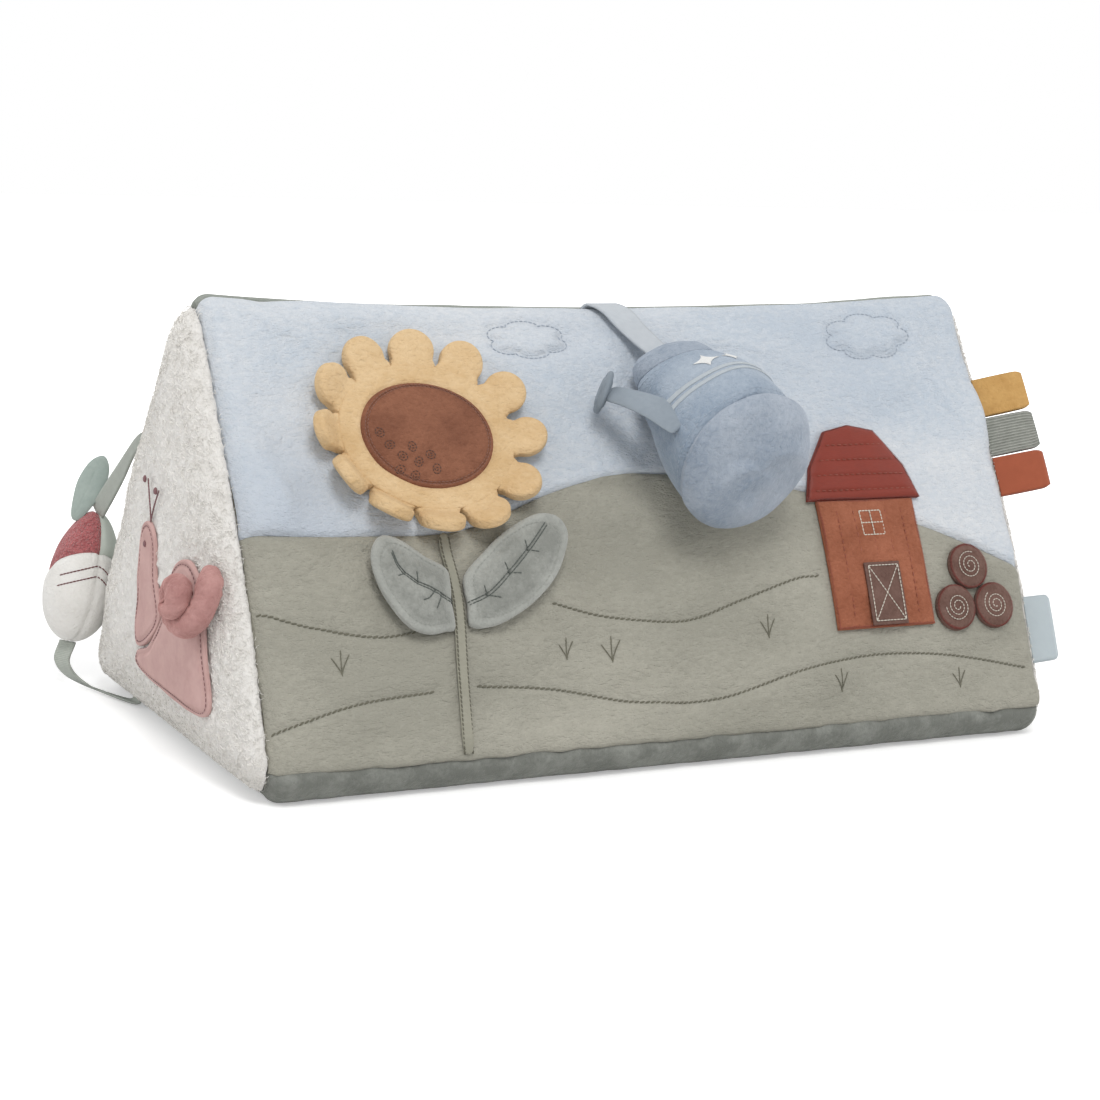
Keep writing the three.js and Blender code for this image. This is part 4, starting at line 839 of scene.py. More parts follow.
def curls(name, colour, shade, scale=260.0, depth=0.0012, sheen=0.3):
    """A looped or curly fabric made of the curls"""
    made, tree, shader, place = new_material(name, 0.95, sheen, 0.6)
    tufts = add(tree, "Group", {"Colour": (*colour, 1), "Shade": (*shade, 1), "Curl Scale": scale, "Depth": depth},
                node_tree=curly_pile)
    wire(tree, (place, "Object", tufts, "Vector"), (tufts, "Color", shader, "Base Color"),
         (tufts, "Normal", shader, "Normal"))
    return made


def pile_noise(name, kind, size):
    """One of Blender's own textures, for pushing a mesh in and out"""
    made = bpy.data.textures.new(name, kind)
    made.noise_scale = size * mm
    return made


curl_push = pile_noise("curl_push", "CLOUDS", 4.0)
curl_push.noise_depth = 2
tuft_push = pile_noise("tuft_push", "VORONOI", 3.6)
# teddy_shade is the painted shade in the hollows between the curls
teddy = curls("teddy_fabric", teddy_colour, teddy_shade, 330, 0.0006, 0.3)
teddy_ends = plush("teddy_ends", (0.83, 0.815, 0.785), (0.76, 0.74, 0.70), patch=70, contrast=0.6, depth=0.0001)
fibre_count, fibre_long, fibre_wide, fibre_rise, rim_draw = 11000, 3.0, 0.26, 0.9, 0.22


def fibres(name, side, seed):
    """Loose ends of the pile: short bent strips that stand up from the curls"""
    rng = np.random.default_rng(seed)
    shape = end_shape(side)
    around, share = rng.uniform(0, 1, fibre_count), rng.uniform(0.0004, 0.997, fibre_count) ** rim_draw
    root = shape(around, share * outer_rings)
    beside = shape(around + 0.002, share * outer_rings) - root
    inwards = shape(around, (share - 0.01) * outer_rings) - root
    out = np.cross(beside, inwards)
    out = out / maximum(np.linalg.norm(out, axis=1), 1e-9)[:, None]
    out = where(out[:, :1] * side < 0, -out, out)
    beside = beside / maximum(np.linalg.norm(beside, axis=1), 1e-9)[:, None]
    third = np.cross(out, beside)
    turned = rng.uniform(0, 2 * pi, fibre_count)[:, None]
    ahead = beside * cos(turned) + third * sin(turned)
    across = np.cross(out, ahead)
    long = rng.uniform(0.6, 1, fibre_count)[:, None] * fibre_long
    rise = rng.uniform(0.5, 1.15, fibre_count)[:, None] * fibre_rise
    bow = rng.uniform(-0.5, 0.5, fibre_count)[:, None] * fibre_long
    rows = []
    for step, (height_at, thin) in enumerate(((-0.2, 1.0), (0.75, 0.9), (1.0, 0.7), (0.55, 0.3))):
        s = step / 3
        middle = root + ahead * long * s * (1 - 0.25 * s) + out * rise * height_at + across * bow * s * s
        half = across * fibre_wide / 2 * thin + out * 0.12
        rows += [middle - half, middle + half]
    points = stack(rows, axis=1).reshape(-1, 3)
    start = np.arange(fibre_count)[:, None] * 8
    faces = np.concatenate([start + array([a, a + 1, a + 3, a + 2]) for a in (0, 2, 4)])
    return new_piece(name, points, faces.tolist())


for side, name, node in ((-1, "left_end_teddy", "left_end_panel"), (1, "right_end_teddy", "right_end_panel")):
    end = ball(name, 400, 118, end_shape(side))
    apply(end, "DISPLACE", texture=curl_push, texture_coords="LOCAL", strength=curl_high, mid_level=0.42)
    apply(end, "DISPLACE", texture=tuft_push, texture_coords="LOCAL", strength=-tuft_deep, mid_level=0.3)
    settle(end, teddy, "bolster", "teddy_pile", node, 0.8)
    settle(fibres(name + "_fibres", side, 47 + side), teddy_ends, "bolster", "teddy_pile")

# Sunflower ground: a padded ring of yellow plush sewn flat to the sky panel. The petals grow
# out of it, and the brown disc is sewn on its middle.
flower_x, flower_t, flower_turn = -111.5, 78.0, radians(8)
disc_wide, disc_tall, disc_thick, disc_crown = 63.5, 51.0, 7.2, 2.4
ring_wide, rest = 9.5, 0.45
yellow_colour, yellow_shade = (0.780, 0.595, 0.370), (0.590, 0.400, 0.205)


def oval_point(around, wide, tall, x=flower_x, t=flower_t, turned=flower_turn):
    angle = 2 * pi * around
    a, b = cos(angle) * wide / 2, sin(angle) * tall / 2
    return x + a * cos(turned) - b * sin(turned), t + a * sin(turned) + b * cos(turned)


def ring_shape(around, down):
    share = interp(down, [0, 0.08, 0.30, 0.72, 0.86, 0.90, 0.94, 1], [0, 0, 0.35, 0.90, 1, 1, 0.95, 0])
    high = interp(down, [0, 0.08, 0.30, 0.72, 0.80, 0.86, 0.92, 1], [5.6, 5.6, 6.7, 7.0, 6.95, 6.5, 0.2, 0.2])
    grown = 2 * (ring_wide + 3 + gap)
    fade = clip((1 - down) / 0.06, 0, 1)

    def across(inner):
        size = where(down < 0.08, inner * down / 0.08, inner + grown * share)
        return where(down > 0.94, (inner + grown * 0.95) * fade, size)

    x, t = oval_point(around, across(disc_wide - 6), across(disc_tall - 6))
    return front(x, t, high + 0.25 * soft_noise(x, t, 9, 51))


yellow_plush = plush("yellow_plush", yellow_colour, yellow_shade, patch=45, fibre=900, depth=0.0016,
                     contrast=0.85, sheen=0.3, stretch=(0.7, 1, 1.2))
flower_ring = ball("flower_ring_plush", 144, 60, ring_shape)
settle(flower_ring, yellow_plush, "bolster", "yellow_plush", "flower_ring", 0.8)

# Petals: twelve flat lobes of the same plush, sewn, turned and lightly stuffed, with a seam
# round the wall. Each one bends up at its root in the ring, most of all at the lower left.
petal_count, petal_long, petal_thick = 12, 16.0, 6.8
petal_leans = (22, 20, 16, 14, 18, 32, 44, 54, 56, 52, 40, 28)
petal_slim = (0.05, 0, 0.10, 0.04, 0.12, 0.02, 0.08, 0, 0.05, 0.10, 0.03, 0.09)
petal_skew = (0.4, -0.5, 0.3, -0.3, 0.6, -0.4, 0.2, 0.4, -0.4, 0.5, -0.5, 0.3)
petal_first, petal_gap, petal_root, petal_over = -5, 0.5, 4.0, 1.08


def petal_outline(half, fan):
    """From the root round the tip, as (outwards, sideways) points"""
    wide = half - 0.3 + min(0.7, 0.2 * petal_long * np.tan(fan))
    knots = [(-petal_root, -half + 0.6), (-petal_root, half - 0.6), (-0.5, half + 0.1),
             (0.14 * petal_long, wide - 1.0)]
    for k in range(9):
        angle = pi / 2 - pi * k / 8
        tip = cos(angle) ** 0.95 if cos(angle) > 1e-6 else 0
        knots.append((0.42 * petal_long + 0.62 * petal_long * tip, wide * sin(angle)))
    knots += [(0.14 * petal_long, -wide + 1.0), (-0.5, -half - 0.1), (-petal_root, -half + 0.6)]
    return smooth_line(knots, 400)


def add_petal(k):
    angle = radians(petal_first - 360 * k / petal_count)
    a = disc_wide / 2 + gap + ring_wide
    b = disc_tall / 2 + gap + ring_wide
    step = pi / petal_count
    corner = [array([cos(s) * a, sin(s) * b]) for s in (angle - step, angle + step)]
    normal = [array([cos(s) * b, sin(s) * a]) for s in (angle - step, angle + step, angle)]
    normal = [unit(n) for n in normal]
    half = np.linalg.norm(corner[0] - corner[1]) / 2 - petal_gap / 2
    fan = np.arccos(min(1, normal[0].dot(normal[1]))) / 2
    middle = (corner[0] + corner[1]) / 2
    rise = (array([cos(angle) * a, sin(angle) * b]) - middle).dot(normal[2])
    root = middle + normal[2] * (rise + gap)
    turned = array([[cos(flower_turn), -sin(flower_turn)], [sin(flower_turn), cos(flower_turn)]])
    root, out = turned @ root + (flower_x, flower_t), turned @ normal[2]
    origin = front(root[0], root[1], 0)
    lifted, along, downhill = axes_at(root[0], root[1])
    outward = along * out[0] + downhill * out[1]
    outward = unit(outward - lifted * outward.dot(lifted))
    sideways = np.cross(lifted, outward)
    lean = radians(petal_leans[k])
    line = petal_outline(half, fan)
    steps = steps_of(line)
    centre_u = 0.42 * petal_long

    def shape(around, down):
        at = around * steps[-1]
        edge = read_line(at, steps, line)
        reach = sin(pi * down) ** 0.42
        high = np.sign(cos(pi * down)) * np.abs(cos(pi * down)) ** 0.5
        u = centre_u + (edge[:, 0] - centre_u) * reach
        outer = clip(u / petal_long, 0, 1)
        v = edge[:, 1] * reach * (1 - petal_slim[k] * outer) + petal_skew[k] * outer
        thick = petal_thick * (1 - 0.12 * clip((u - 0.5 * petal_long) / petal_long, 0, 1))
        h = 0.5 * thick * high + 0.15 * (1 - reach ** 2) * np.sign(high)
        h += 0.2 * soft_noise(u + 37 * k, v, 7, 61 + k) * np.sign(high)
        # the petal bends over its first millimetres, a little past its lean, and then runs straight
        spine = linspace(-petal_root - 1, petal_long * 1.2, 200)
        bend, spine_bend = (petal_over * lean * clip((at + 1.5) / 5.5, 0, 1) ** 1.5 for at in (u, spine))
        gap_u = np.gradient(spine)
        run_out = np.cumsum(cos(spine_bend) * gap_u)
        run_up = np.cumsum(sin(spine_bend) * gap_u)
        run_out -= interp(-petal_root, spine, run_out) + petal_root
        run_up -= interp(-petal_root, spine, run_up)
        far, near_up = interp(u, spine, run_out), interp(u, spine, run_up)
        base = rest + petal_thick / 2 - 0.35
        far = far - h * sin(bend)
        lift = base + near_up + h * cos(bend)
        return origin + far[:, None] * outward + v[:, None] * sideways + lift[:, None] * lifted

    petal = ball(f"flower_petal_{k + 1}", 64, 34, shape)
    hinge = origin + (rest + petal_thick / 2) * lifted
    settle(petal, yellow_plush, "bolster", "yellow_plush", f"petal_{k + 1}", 0.7,
           f"petal_{k + 1}", hinge - 2.5 * outward, hinge + 3.5 * outward)


for k in range(petal_count):
    add_petal(k)

# Disc: an oval of brown plush over a thin pad, held by two rings of close stitching. Little
# seed rings are embroidered on its lower left.
brown_colour, brown_shade = (0.300, 0.128, 0.074), (0.170, 0.066, 0.038)
seeds = (
    (-131.5, 83), (-126.5, 88.5), (-121.5, 84.5), (-119.5, 91.5), (-128.5, 94.5), (-113.5, 88.5),
    (-135, 77), (-111.5, 95), (-122, 97.5),
)


def disc_height(x, t):
    dx, dt = x - flower_x, t - flower_t
    a = dx * cos(flower_turn) + dt * sin(flower_turn)
    b = dt * cos(flower_turn) - dx * sin(flower_turn)
    share = hypot(a / (disc_wide / 2), b / (disc_tall / 2))
    h = rest + disc_thick + disc_crown * (1 - share ** 2) - 2.0 * clip((share - 0.94) / 0.06, 0, 1) ** 2
    h -= 0.7 * exp(-((share - 0.915) / 0.022) ** 2)
    for sx, st in seeds:
        h -= 0.35 * exp(-(hypot(x - sx, t - st) / 2.4) ** 2)
    return h + 0.3 * soft_noise(x, t, 13, 71)


def disc_shape(around, down):
    share = clip(interp(down, [0, 0.8, 0.9, 1], [0, 1, 1, 0]), 0, 1)
    x, t = oval_point(around, disc_wide * share, disc_tall * share)
    low = interp(down, [0, 0.8, 0.9, 1], [0, 0, 1, 1])
    high = disc_height(x, t)
    return front(x, t, high * (1 - low) + rest * low)


brown_plush = plush("brown_plush", brown_colour, brown_shade, patch=70, fibre=800, depth=0.0012,
                    contrast=0.75, sheen=0.35, stretch=(0.8, 1, 1.15))
disc = ball("flower_disc_plush", 128, 60, disc_shape)
settle(disc, brown_plush, "bolster", "brown_minky", "flower_disc", 0.7)

brown_thread = thread("brown_thread", (0.300, 0.140, 0.095), (0.150, 0.065, 0.045))
dark_brown_thread = thread("dark_brown_thread", (0.110, 0.048, 0.032), (0.060, 0.028, 0.020))
rings = []
for share in (0.93, 0.895):
    x, t = oval_point(linspace(0, 1, 150), disc_wide * share, disc_tall * share)
    rings.append(on_cover(x, t, disc_height(x, t)))
sew("disc_ring_stitches", rings, brown_thread, "bolster", "brown_minky", long=1.7, wide=0.5, between=0.2)
seed_rows = []
for k, (sx, st) in enumerate(seeds):
    x, t = oval_point(linspace(0, 1, 22), 4.4, 3.6, sx, st, 0.7 * k)
    seed_rows.append(on_cover(x, t, disc_height(x, t)))
    x, t = oval_point(linspace(0, 1, 12), 1.7, 1.4, sx, st, 0)
    seed_rows.append(on_cover(x, t, disc_height(x, t)))
sew("disc_seed_stitches", seed_rows, dark_brown_thread, "bolster", "brown_minky", long=1.4, wide=0.55, between=0.2)

# Stem: a narrow sewn cord from the flower to the base seam, a pale band between two close
# rows of dark stitching.
stem_wide, stem_thick = 5.5, 2.2
flower_bottom = flower_t + disc_tall / 2 + ring_wide + petal_long
stem_knots = ((-0.01, 0), (0, 0.25), (-0.01, 0.6), (-0.018, 1))
stem_line = smooth_line([
    (flower_x + along * length / 2 + stem_wide / 2,
     flower_bottom + 4 * gap + (slope_length - stem_wide / 2 - flower_bottom - 4 * gap) * down)
    for along, down in stem_knots
], 80)
# the flower's plush hides the cord's upper end
stem_top = 8.0


def stem_x(t):
    return interp(t, stem_line[:, 1], stem_line[:, 0])


def stem_shape(around, down):
    t = stem_line[0, 1] - stem_top + (stem_line[-1, 1] - stem_line[0, 1] + stem_top) * down
    angle = 2 * pi * around
    full = sqrt(clip(1 - (2 * down - 1) ** 24, 0, 1))
    across = 0.5 * stem_wide * np.sign(cos(angle)) * np.abs(cos(angle)) ** 0.8 * full
    high = rest + stem_thick * (0.42 + 0.42 * sin(angle) * full)
    return front(stem_x(t) + across, t, maximum(high, 0.15) + hill_relief(stem_x(t) + across, t) * (t > 128) * 0.5)


stem_plush = plush("stem_cord", (0.345, 0.335, 0.275), (0.235, 0.230, 0.185), patch=80, fibre=1300, depth=0.0006)
stem = ball("stem_cord_piece", 20, 160, stem_shape)
settle(stem, stem_plush, "bolster", "stem_cord", "stem_band", 0.6)

rows = []
stem_t = linspace(stem_line[0, 1] - stem_top + 2, slope_length - 3, 70)
for side in (-1, 1):
    x = stem_x(stem_t) + side * stem_wide * 0.36
    rows.append(on_cover(x, stem_t, rest + stem_thick * 0.62))
stem_thread = thread("stem_thread", (0.150, 0.142, 0.105), (0.085, 0.082, 0.060))
sew("stem_stitches", rows, stem_thread, "bolster", "stem_cord", long=2.2, wide=1.0, between=-0.2, tilt=0.2)

# Leaves: two padded flaps of grey-green plush under the stem. A stitched line inside the edge
# leaves a puffed rim, and the veins are embroidered through both layers.
leaf_colour, leaf_shade = (0.420, 0.428, 0.398), (0.225, 0.232, 0.212)
leaf_thick, leaf_crown, leaf_lean = 6.0, 2.2, radians(7)
# the end of a leaf's join lies this far out from its sewn edge; the join is not used
leaf_give = 7
leaves = (
    ("leaf_left", -1, 36.0, 44.4, 153.0, (
        (0, -0.3), (0.3, -0.46), (0.62, -0.63), (0.86, -0.66), (1, -0.48), (0.97, -0.22), (0.84, 0.02),
        (0.62, 0.24), (0.36, 0.32), (0.12, 0.3), (0, 0.27), (0, 0)),
     ((0, 0.02), (0.25, -0.10), (0.5, -0.2), (0.68, -0.34), (0.75, -0.5)),
     (((0.24, -0.1), (0.34, -0.03), (0.42, -0.01)), ((0.46, -0.19), (0.455, -0.29)), ((0.62, -0.28), (0.71, -0.26)),
      ((0.16, -0.05), (0.26, 0.08)))),
    ("leaf_right", 1, 51.0, 48.0, 155.0, (
        (0, -0.25), (0.2, -0.46), (0.44, -0.65), (0.72, -0.78), (0.92, -0.75), (1, -0.6), (0.96, -0.42),
        (0.84, -0.2), (0.64, 0), (0.42, 0.14), (0.2, 0.22), (0, 0.2), (0, 0)),
     ((0, 0.0), (0.2, -0.08), (0.42, -0.27), (0.62, -0.47), (0.8, -0.68)),
     (((0.17, -0.06), (0.155, -0.15)), ((0.17, -0.06), (0.29, -0.03)), ((0.4, -0.25), (0.37, -0.35)),
      ((0.4, -0.25), (0.51, -0.24)), ((0.6, -0.45), (0.585, -0.54)), ((0.6, -0.45), (0.70, -0.425)))),
)


def closed_line(knots, count):
    """A closed smooth outline, evenly spaced, starting at its first knot"""
    p = array(list(knots) + list(knots[:3]), float)
    line = smooth_line(p, 60 * len(p))
    keep = np.arange(len(line)) / (len(line) - 1) * (len(p) - 1)
    line = line[(keep >= 1) & (keep <= len(knots) + 1)]
    steps = steps_of(line)
    return read_line(linspace(0, steps[-1], count), steps, line)


def spread(outline, around, down, wall, foot, power=1.0):
    """Fills an outline: two coordinates, and how far down the wall from the top face to the underside"""
    edge = read_line(around, linspace(0, 1, len(outline)), outline)
    share = interp(down, [0, wall, foot, 1], [0, 1, 1, 0])
    share = where(down < wall, share ** power, share)
    centre = outline[:-1].mean(axis=0)
    a, b = (centre + (edge - centre) * share[:, None]).T
    return a, b, interp(down, [0, wall, foot, 1], [0, 0, 1, 1])


leaf_fabric = plush("leaf_plush", leaf_colour, leaf_shade, patch=55, fibre=1000, depth=0.0011, contrast=0.95,
                    sheen=0.4, shine=(1, 1, 1))
# painted highlight: the puffed rim is paler, where the point attribute rim marks it
mix_by(leaf_fabric, "rim", (0.445, 0.455, 0.425))
leaf_green, leaf_dark = (0.115, 0.130, 0.115), (0.065, 0.078, 0.070)
leaf_thread = thread("leaf_thread", leaf_green, leaf_dark)
rim_thread = thread("rim_thread", (0.34, 0.35, 0.32), (0.24, 0.25, 0.225))


def add_leaf(name, side, reach, span, t, knots, midrib, veins):
    clear = stem_wide / 2 + gap
    x = float(stem_x(t)) + side * clear
    origin = front(x, t, 0)
    lifted, along, downhill = axes_at(x, t)
    outward = side * along
    outline = closed_line([(u * reach, v * span) for u, v in knots], 161)
    outline[:, 0] = maximum(outline[:, 0], -0.6)
    centre = outline[:-1].mean(axis=0)
    top = rest + leaf_thick
    pivot = origin + top * lifted + 0.3 * outward
    ahead = outward * cos(leaf_lean) + lifted * sin(leaf_lean)
    raised = lifted * cos(leaf_lean) - outward * sin(leaf_lean)

    def top_of(u, v):
        off = from_line(u, v, outline)
        h = leaf_thick - leaf_crown * 0.55 - 0.75 * exp(-((off - 4.2) / 2.2) ** 2) - 2.1 * exp(-off / 1.4)
        h += 0.5 * (1 - exp(-off / 7)) + 0.35 * soft_noise(u, v, 10, 81 + side)
        for row in [midrib, *veins]:
            row_line = [(a * reach, b * span) for a, b in row]
            h -= 0.55 * exp(-(from_line(u, v, row_line) / 1.3) ** 2)
        # the free side of each leaf waves a little
        return h + 1.2 * sin(v / span * 5.0 + 0.6) * clip(u / reach, 0, 1) ** 1.5

    def place(u, v, h):
        u, v, h = (np.asarray(c, float)[..., None] for c in (u, v, h))
        return pivot + u * ahead + v * downhill + (h + rest - top) * raised

    def shape(around, down):
        u, v, low = spread(outline, around, down, 0.78, 0.86, 0.8)
        high = top_of(u, v)
        bottom = 1.2 + (high - (leaf_thick - leaf_crown * 0.55)) * 0.25
        return place(u, v, high * (1 - low) + bottom * low)

    piece = ball(f"{name}_plush", 160, 72, shape)
    local = points_of(piece) / mm - pivot
    off = from_line(local @ ahead, local @ downhill, outline)
    # the painted highlight is strongest at the edge and fades out over 5 mm inside it
    mark_points(piece, "rim", 0.5 * clip(1 - (off - 0.5) / 5.0, 0, 1))
    start = pivot - top * 0.4 * lifted
    end = start + leaf_give * outward
    settle(piece, leaf_fabric, "bolster", "leaf_minky", name, 0.5, name, start, end)

    def on_leaf(line):
        points = place(line[:, 0], line[:, 1], top_of(line[:, 0], line[:, 1]))
        return points, np.repeat(raised[None], len(points), axis=0)

    def vein(row, steps):
        return on_leaf(smooth_line([(a * reach, b * span) for a, b in row], steps))

    vein_rows = [vein(row, 14) for row in veins]
    for shift in (-0.012, 0.012):
        vein_rows.append(vein([(a + shift * 0.6, b + shift) for a, b in midrib], 40))
    sew(f"{name}_veins", vein_rows, leaf_thread, "bolster", "leaf_minky", long=2.1, wide=0.65, between=-0.4,
        onto=name, start=start, end=end)
    inset = centre + (outline - centre) * 0.83
    row = [on_leaf(inset[inset[:, 0] > 3])]
    sew(f"{name}_edge_stitches", row, rim_thread, "bolster", "leaf_minky", long=1.7, wide=0.34, between=0.5,
        onto=name, start=start, end=end)


for leaf in leaves:
    add_leaf(*leaf)

# Can ribbon: a grosgrain ribbon from the ridge seam to the neck of the can. It bends
# at the ridge, where it is sewn in.
neck_x, neck_t, neck_rise, foot_x, foot_t, foot_rise = 14.0, 38.0, 10.0, 25.0, 104.0, 38.0
shoulder_radius, foot_radius, can_rest = 20.0, 33.5, 0.7
shoulder_long, band_start = 15.0, 15.0
ribbon_x, ribbon_wide, ribbon_thick, ribbon_rise = -1.0, 16.0, 1.2, 0.6
can_long = hypot(foot_x - neck_x, foot_t - neck_t)
heading = array([foot_x - neck_x, foot_t - neck_t]) / can_long
across_can = array([heading[1], -heading[0]])


def ribbon_material(name, colour, dark, ribs=46.0, depth=0.00025, along=0):
    """Woven ribbon: fine ribs across it from its own UV map, and threads that vary a little"""
    made, tree, shader, place = new_material(name, 0.7, 0.2)
    weave = add(tree, "TexWave", {"Scale": ribs / 6.28, "Distortion": 0.6, "Detail Scale": 6},
                bands_direction="XY"[along])
    wear = add(tree, "TexNoise", {"Scale": 260})
    half = add(tree, "Math", {1: 0.6}, operation="MULTIPLY")
    both = add(tree, "Math", {1: 0.55}, operation="MULTIPLY_ADD")
    wire(tree, (place, "UV", weave, "Vector"), (place, "Object", wear, "Vector"), (wear, "Fac", half, 0),
         (weave, "Fac", both, 0), (half, 0, both, 2))
    colour_by(tree, shader, both, 0, dark, colour)
    raise_by(tree, shader, both, 0, depth)
    return made


def can_ribbon_shape(u, v):
    end_x, end_t = neck_x + heading[0] * 3, neck_t + heading[1] * 3
    x = ribbon_x + (end_x - ribbon_x) * u
    h = ribbon_rise + ribbon_thick + (neck_rise - ribbon_rise) * u ** 1.6 - 2.6 * clip(1 - u / 0.08, 0, 1) ** 2
    turned = minimum(1, u * 1.4)
    wide = (1 - turned)[:, None] * array([1.0, 0]) + turned[:, None] * across_can
    wide = unit(wide) * (ribbon_wide * (1 - 0.2 * u))[:, None] * (v - 0.5)[:, None]
    curl = 0.5 * (2 * v - 1) ** 2 * u
    return front(x + wide[:, 0], maximum(0, end_t * u + wide[:, 1]), h + curl)


grey_ribbon = ribbon_material("grey_grosgrain", (0.590, 0.625, 0.660), (0.430, 0.470, 0.510), ribs=150)
can_tape = grid("can_ribbon_tape", 60, 14, can_ribbon_shape)
apply(can_tape, "SOLIDIFY", thickness=ribbon_thick * mm, offset=0)
settle(can_tape, grey_ribbon, "bolster", "grey_ribbon", "can_ribbon", None, "can_ribbon",
       front(ribbon_x, 0, ribbon_rise + ribbon_thick / 2), front(ribbon_x + 3, 13, ribbon_rise + ribbon_thick / 2))

# Watering can: a stuffed can of blue-grey plush that lies on the slope with its round bottom
# turned to the front. Three parts are sewn together: the shoulder, the body, which carries two
# stars and two ribbon stripes, and the puffed bottom.
can_colour, can_shade = (0.500, 0.540, 0.600), (0.225, 0.275, 0.345)
band_colour, band_shade = (0.485, 0.540, 0.605), (0.225, 0.285, 0.365)


def can_point(run, radius, angle, push):
    run, radius, angle, push = np.broadcast_arrays(*(np.asarray(c, float) for c in (run, radius, angle, push)))
    share = clip(run / can_long, 0, 1)
    rise = neck_rise + (foot_rise - neck_rise) * share
    tip = np.radians(6 + 34 * share ** 1.3)
    u, v = radius * cos(angle), radius * sin(angle)
    ahead = push * cos(tip) - v * sin(tip)
    high = rise + v * cos(tip) + push * sin(tip)
    x = neck_x + heading[0] * (run + ahead) + across_can[0] * u
    t = neck_t + heading[1] * (run + ahead) + across_can[1] * u
    return front(x, t, maximum(can_rest, high))


def can_wall(run):
    share = clip((run - band_start) / (can_long - band_start), 0, 1)
    return shoulder_radius + (foot_radius - shoulder_radius) * share ** 0.8


def lay(down, knots):
    """Reads the columns of a table of knots by the first, the way from pole to pole"""
    table = array(knots, float).T
    return [interp(down, table[0], column) for column in table[1:]]


def crumple(around, run, size, seed):
    angle = 2 * pi * around
    return soft_noise(25 * cos(angle) + 60, 25 * sin(angle) + run * 1.0, size, seed)


def shoulder_shape(around, down):
    knots = [(0, 0.6, 0), (0.06, 0.6, 4.5), (0.14, 1.0, 9.4), (0.28, 2.8, 13.4), (0.45, 6.2, 17.4), (0.62, 10.2, 18.9),
             (0.72, 13.0, 19.6), (0.80, 14.7, 19.8), (0.86, shoulder_long + gap, 19.4), (1, shoulder_long + gap, 0)]
    run_at, radius = lay(down, knots)
    radius = radius + 1.1 * crumple(around, run_at, 11, 91) * clip(radius / 12, 0, 1)
    return can_point(run_at, radius, 2 * pi * around, 0)


can_plush = plush("can_plush", can_colour, can_shade, patch=26, fibre=1200, contrast=0.8, depth=0.0012, sheen=0.4)
band_plush = plush("band_plush", band_colour, band_shade, patch=28, fibre=1200, contrast=0.8, depth=0.0012,
                   sheen=0.4)
shoulder = ball("can_shoulder_plush", 96, 60, shoulder_shape)
settle(shoulder, can_plush, "can_ribbon", "can_minky", "can_shoulder", 0.8,
       "can", can_point(-1.5, 0, 0, 0), can_point(4.0, 0, 0, 0))


def band_surface(around, run_at):
    """The radius of the body of the can: a seam groove at each end and a soft swell between"""
    share = clip((run_at - band_start) / (can_long - band_start), 0, 1)
    radius = can_wall(run_at) + 2.2 * sin(pi * share) ** 0.7
    radius = radius - 0.5 * exp(-(run_at - band_start) / 1.6) - 2.2 * exp(-(can_long - run_at) / 2.4)
    radius = radius + 1.6 * crumple(around, run_at, 17, 93) * sin(pi * share) ** 0.5
    return radius + 0.9 * crumple(around, run_at, 7, 94) * exp(-(can_long - run_at) / 8)


def band_shape(around, down):
    start, end = band_start + gap, can_long
    run_at = interp(down, [0, 0.1, 0.9, 1], [start, start, end, end])
    radius = where(down < 0.1, band_surface(around, start) * down / 0.1, band_surface(around, run_at))
    radius = where(down > 0.9, band_surface(around, end) * (1 - down) / 0.1, radius)
    return can_point(run_at, radius, 2 * pi * around, 0)


band = ball("can_body_plush", 128, 80, band_shape)
settle(band, band_plush, "can", "band_minky", "can_band", 0.85)


def bottom_shape(around, down):
    r = foot_radius
    knots = [(0, 0, gap), (0.10, r - 2.2, gap), (0.14, r - 0.6, gap + 0.5), (0.18, r + 0.9, 2.0), (0.25, r + 1.2, 4.3),
             (0.33, r - 0.4, 7.2), (0.37, r - 2.0, 8.6), (0.41, r - 3.9, 9.6), (0.50, r * 0.74, 11.2),
             (0.62, r * 0.55, 12.9), (0.75, r * 0.36, 14.3), (0.88, r * 0.17, 15.0), (1, 0, 15.2)]
    radius, push = lay(down, knots)
    out = clip((down - 0.15) / 0.2, 0, 1)
    push = push + 1.6 * crumple(around, radius * 1.3, 15, 97) * out * clip(radius / 10, 0, 1)
    radius = radius + 0.9 * crumple(around, push, 8, 98) * exp(-((down - 0.25) / 0.08) ** 2)
    return can_point(can_long, radius, 2 * pi * around, push)


bottom = ball("can_bottom_plush", 128, 84, bottom_shape)
settle(bottom, can_plush, "can", "can_minky", "can_bottom", 0.9)


def on_can(run_at, around, out):
    """Points on the body of the can, and the way out there"""
    run_at, around = np.broadcast_arrays(np.asarray(run_at, float), np.asarray(around, float))
    radius = band_surface(around, run_at)
    here = can_point(run_at, radius + out, 2 * pi * around, 0)
    return here, unit(here - can_point(run_at, 0, 0, 0))


seam_thread = thread("can_thread", (0.42, 0.48, 0.56), (0.30, 0.36, 0.44))
rounds = linspace(0, 1, 90)
seam_rows = [on_can(band_start + 3.4, rounds, 0.05), on_can(can_long - 3.6, rounds, 0.05)]
sew("can_seam_stitches", seam_rows, seam_thread, "can", "can_minky", long=2.2, wide=0.42, between=0.6, raised=0.0)

stripe_ribbon = ribbon_material("pale_ribbon", (0.500, 0.545, 0.575), (0.345, 0.395, 0.440), ribs=300, depth=0.00015)


def add_stripe(name, run_mid, wide, first, last):
    def shape(u, v):
        return on_can(run_mid + (v - 0.5) * wide, first + (last - first) * u, 0.35)[0]
    stripe = face_out(grid(name, 110, 4, shape), tuple(can_point(run_mid, 0, 0, 0) * mm))
    apply(stripe, "SOLIDIFY", thickness=0.35 * mm, offset=-1)
    settle(stripe, stripe_ribbon, "can", "band_minky")


add_stripe("can_stripe_upper", 39.5, 2.6, 0.06, 0.47)
add_stripe("can_stripe_lower", 44.0, 2.4, 0.06, 0.47)

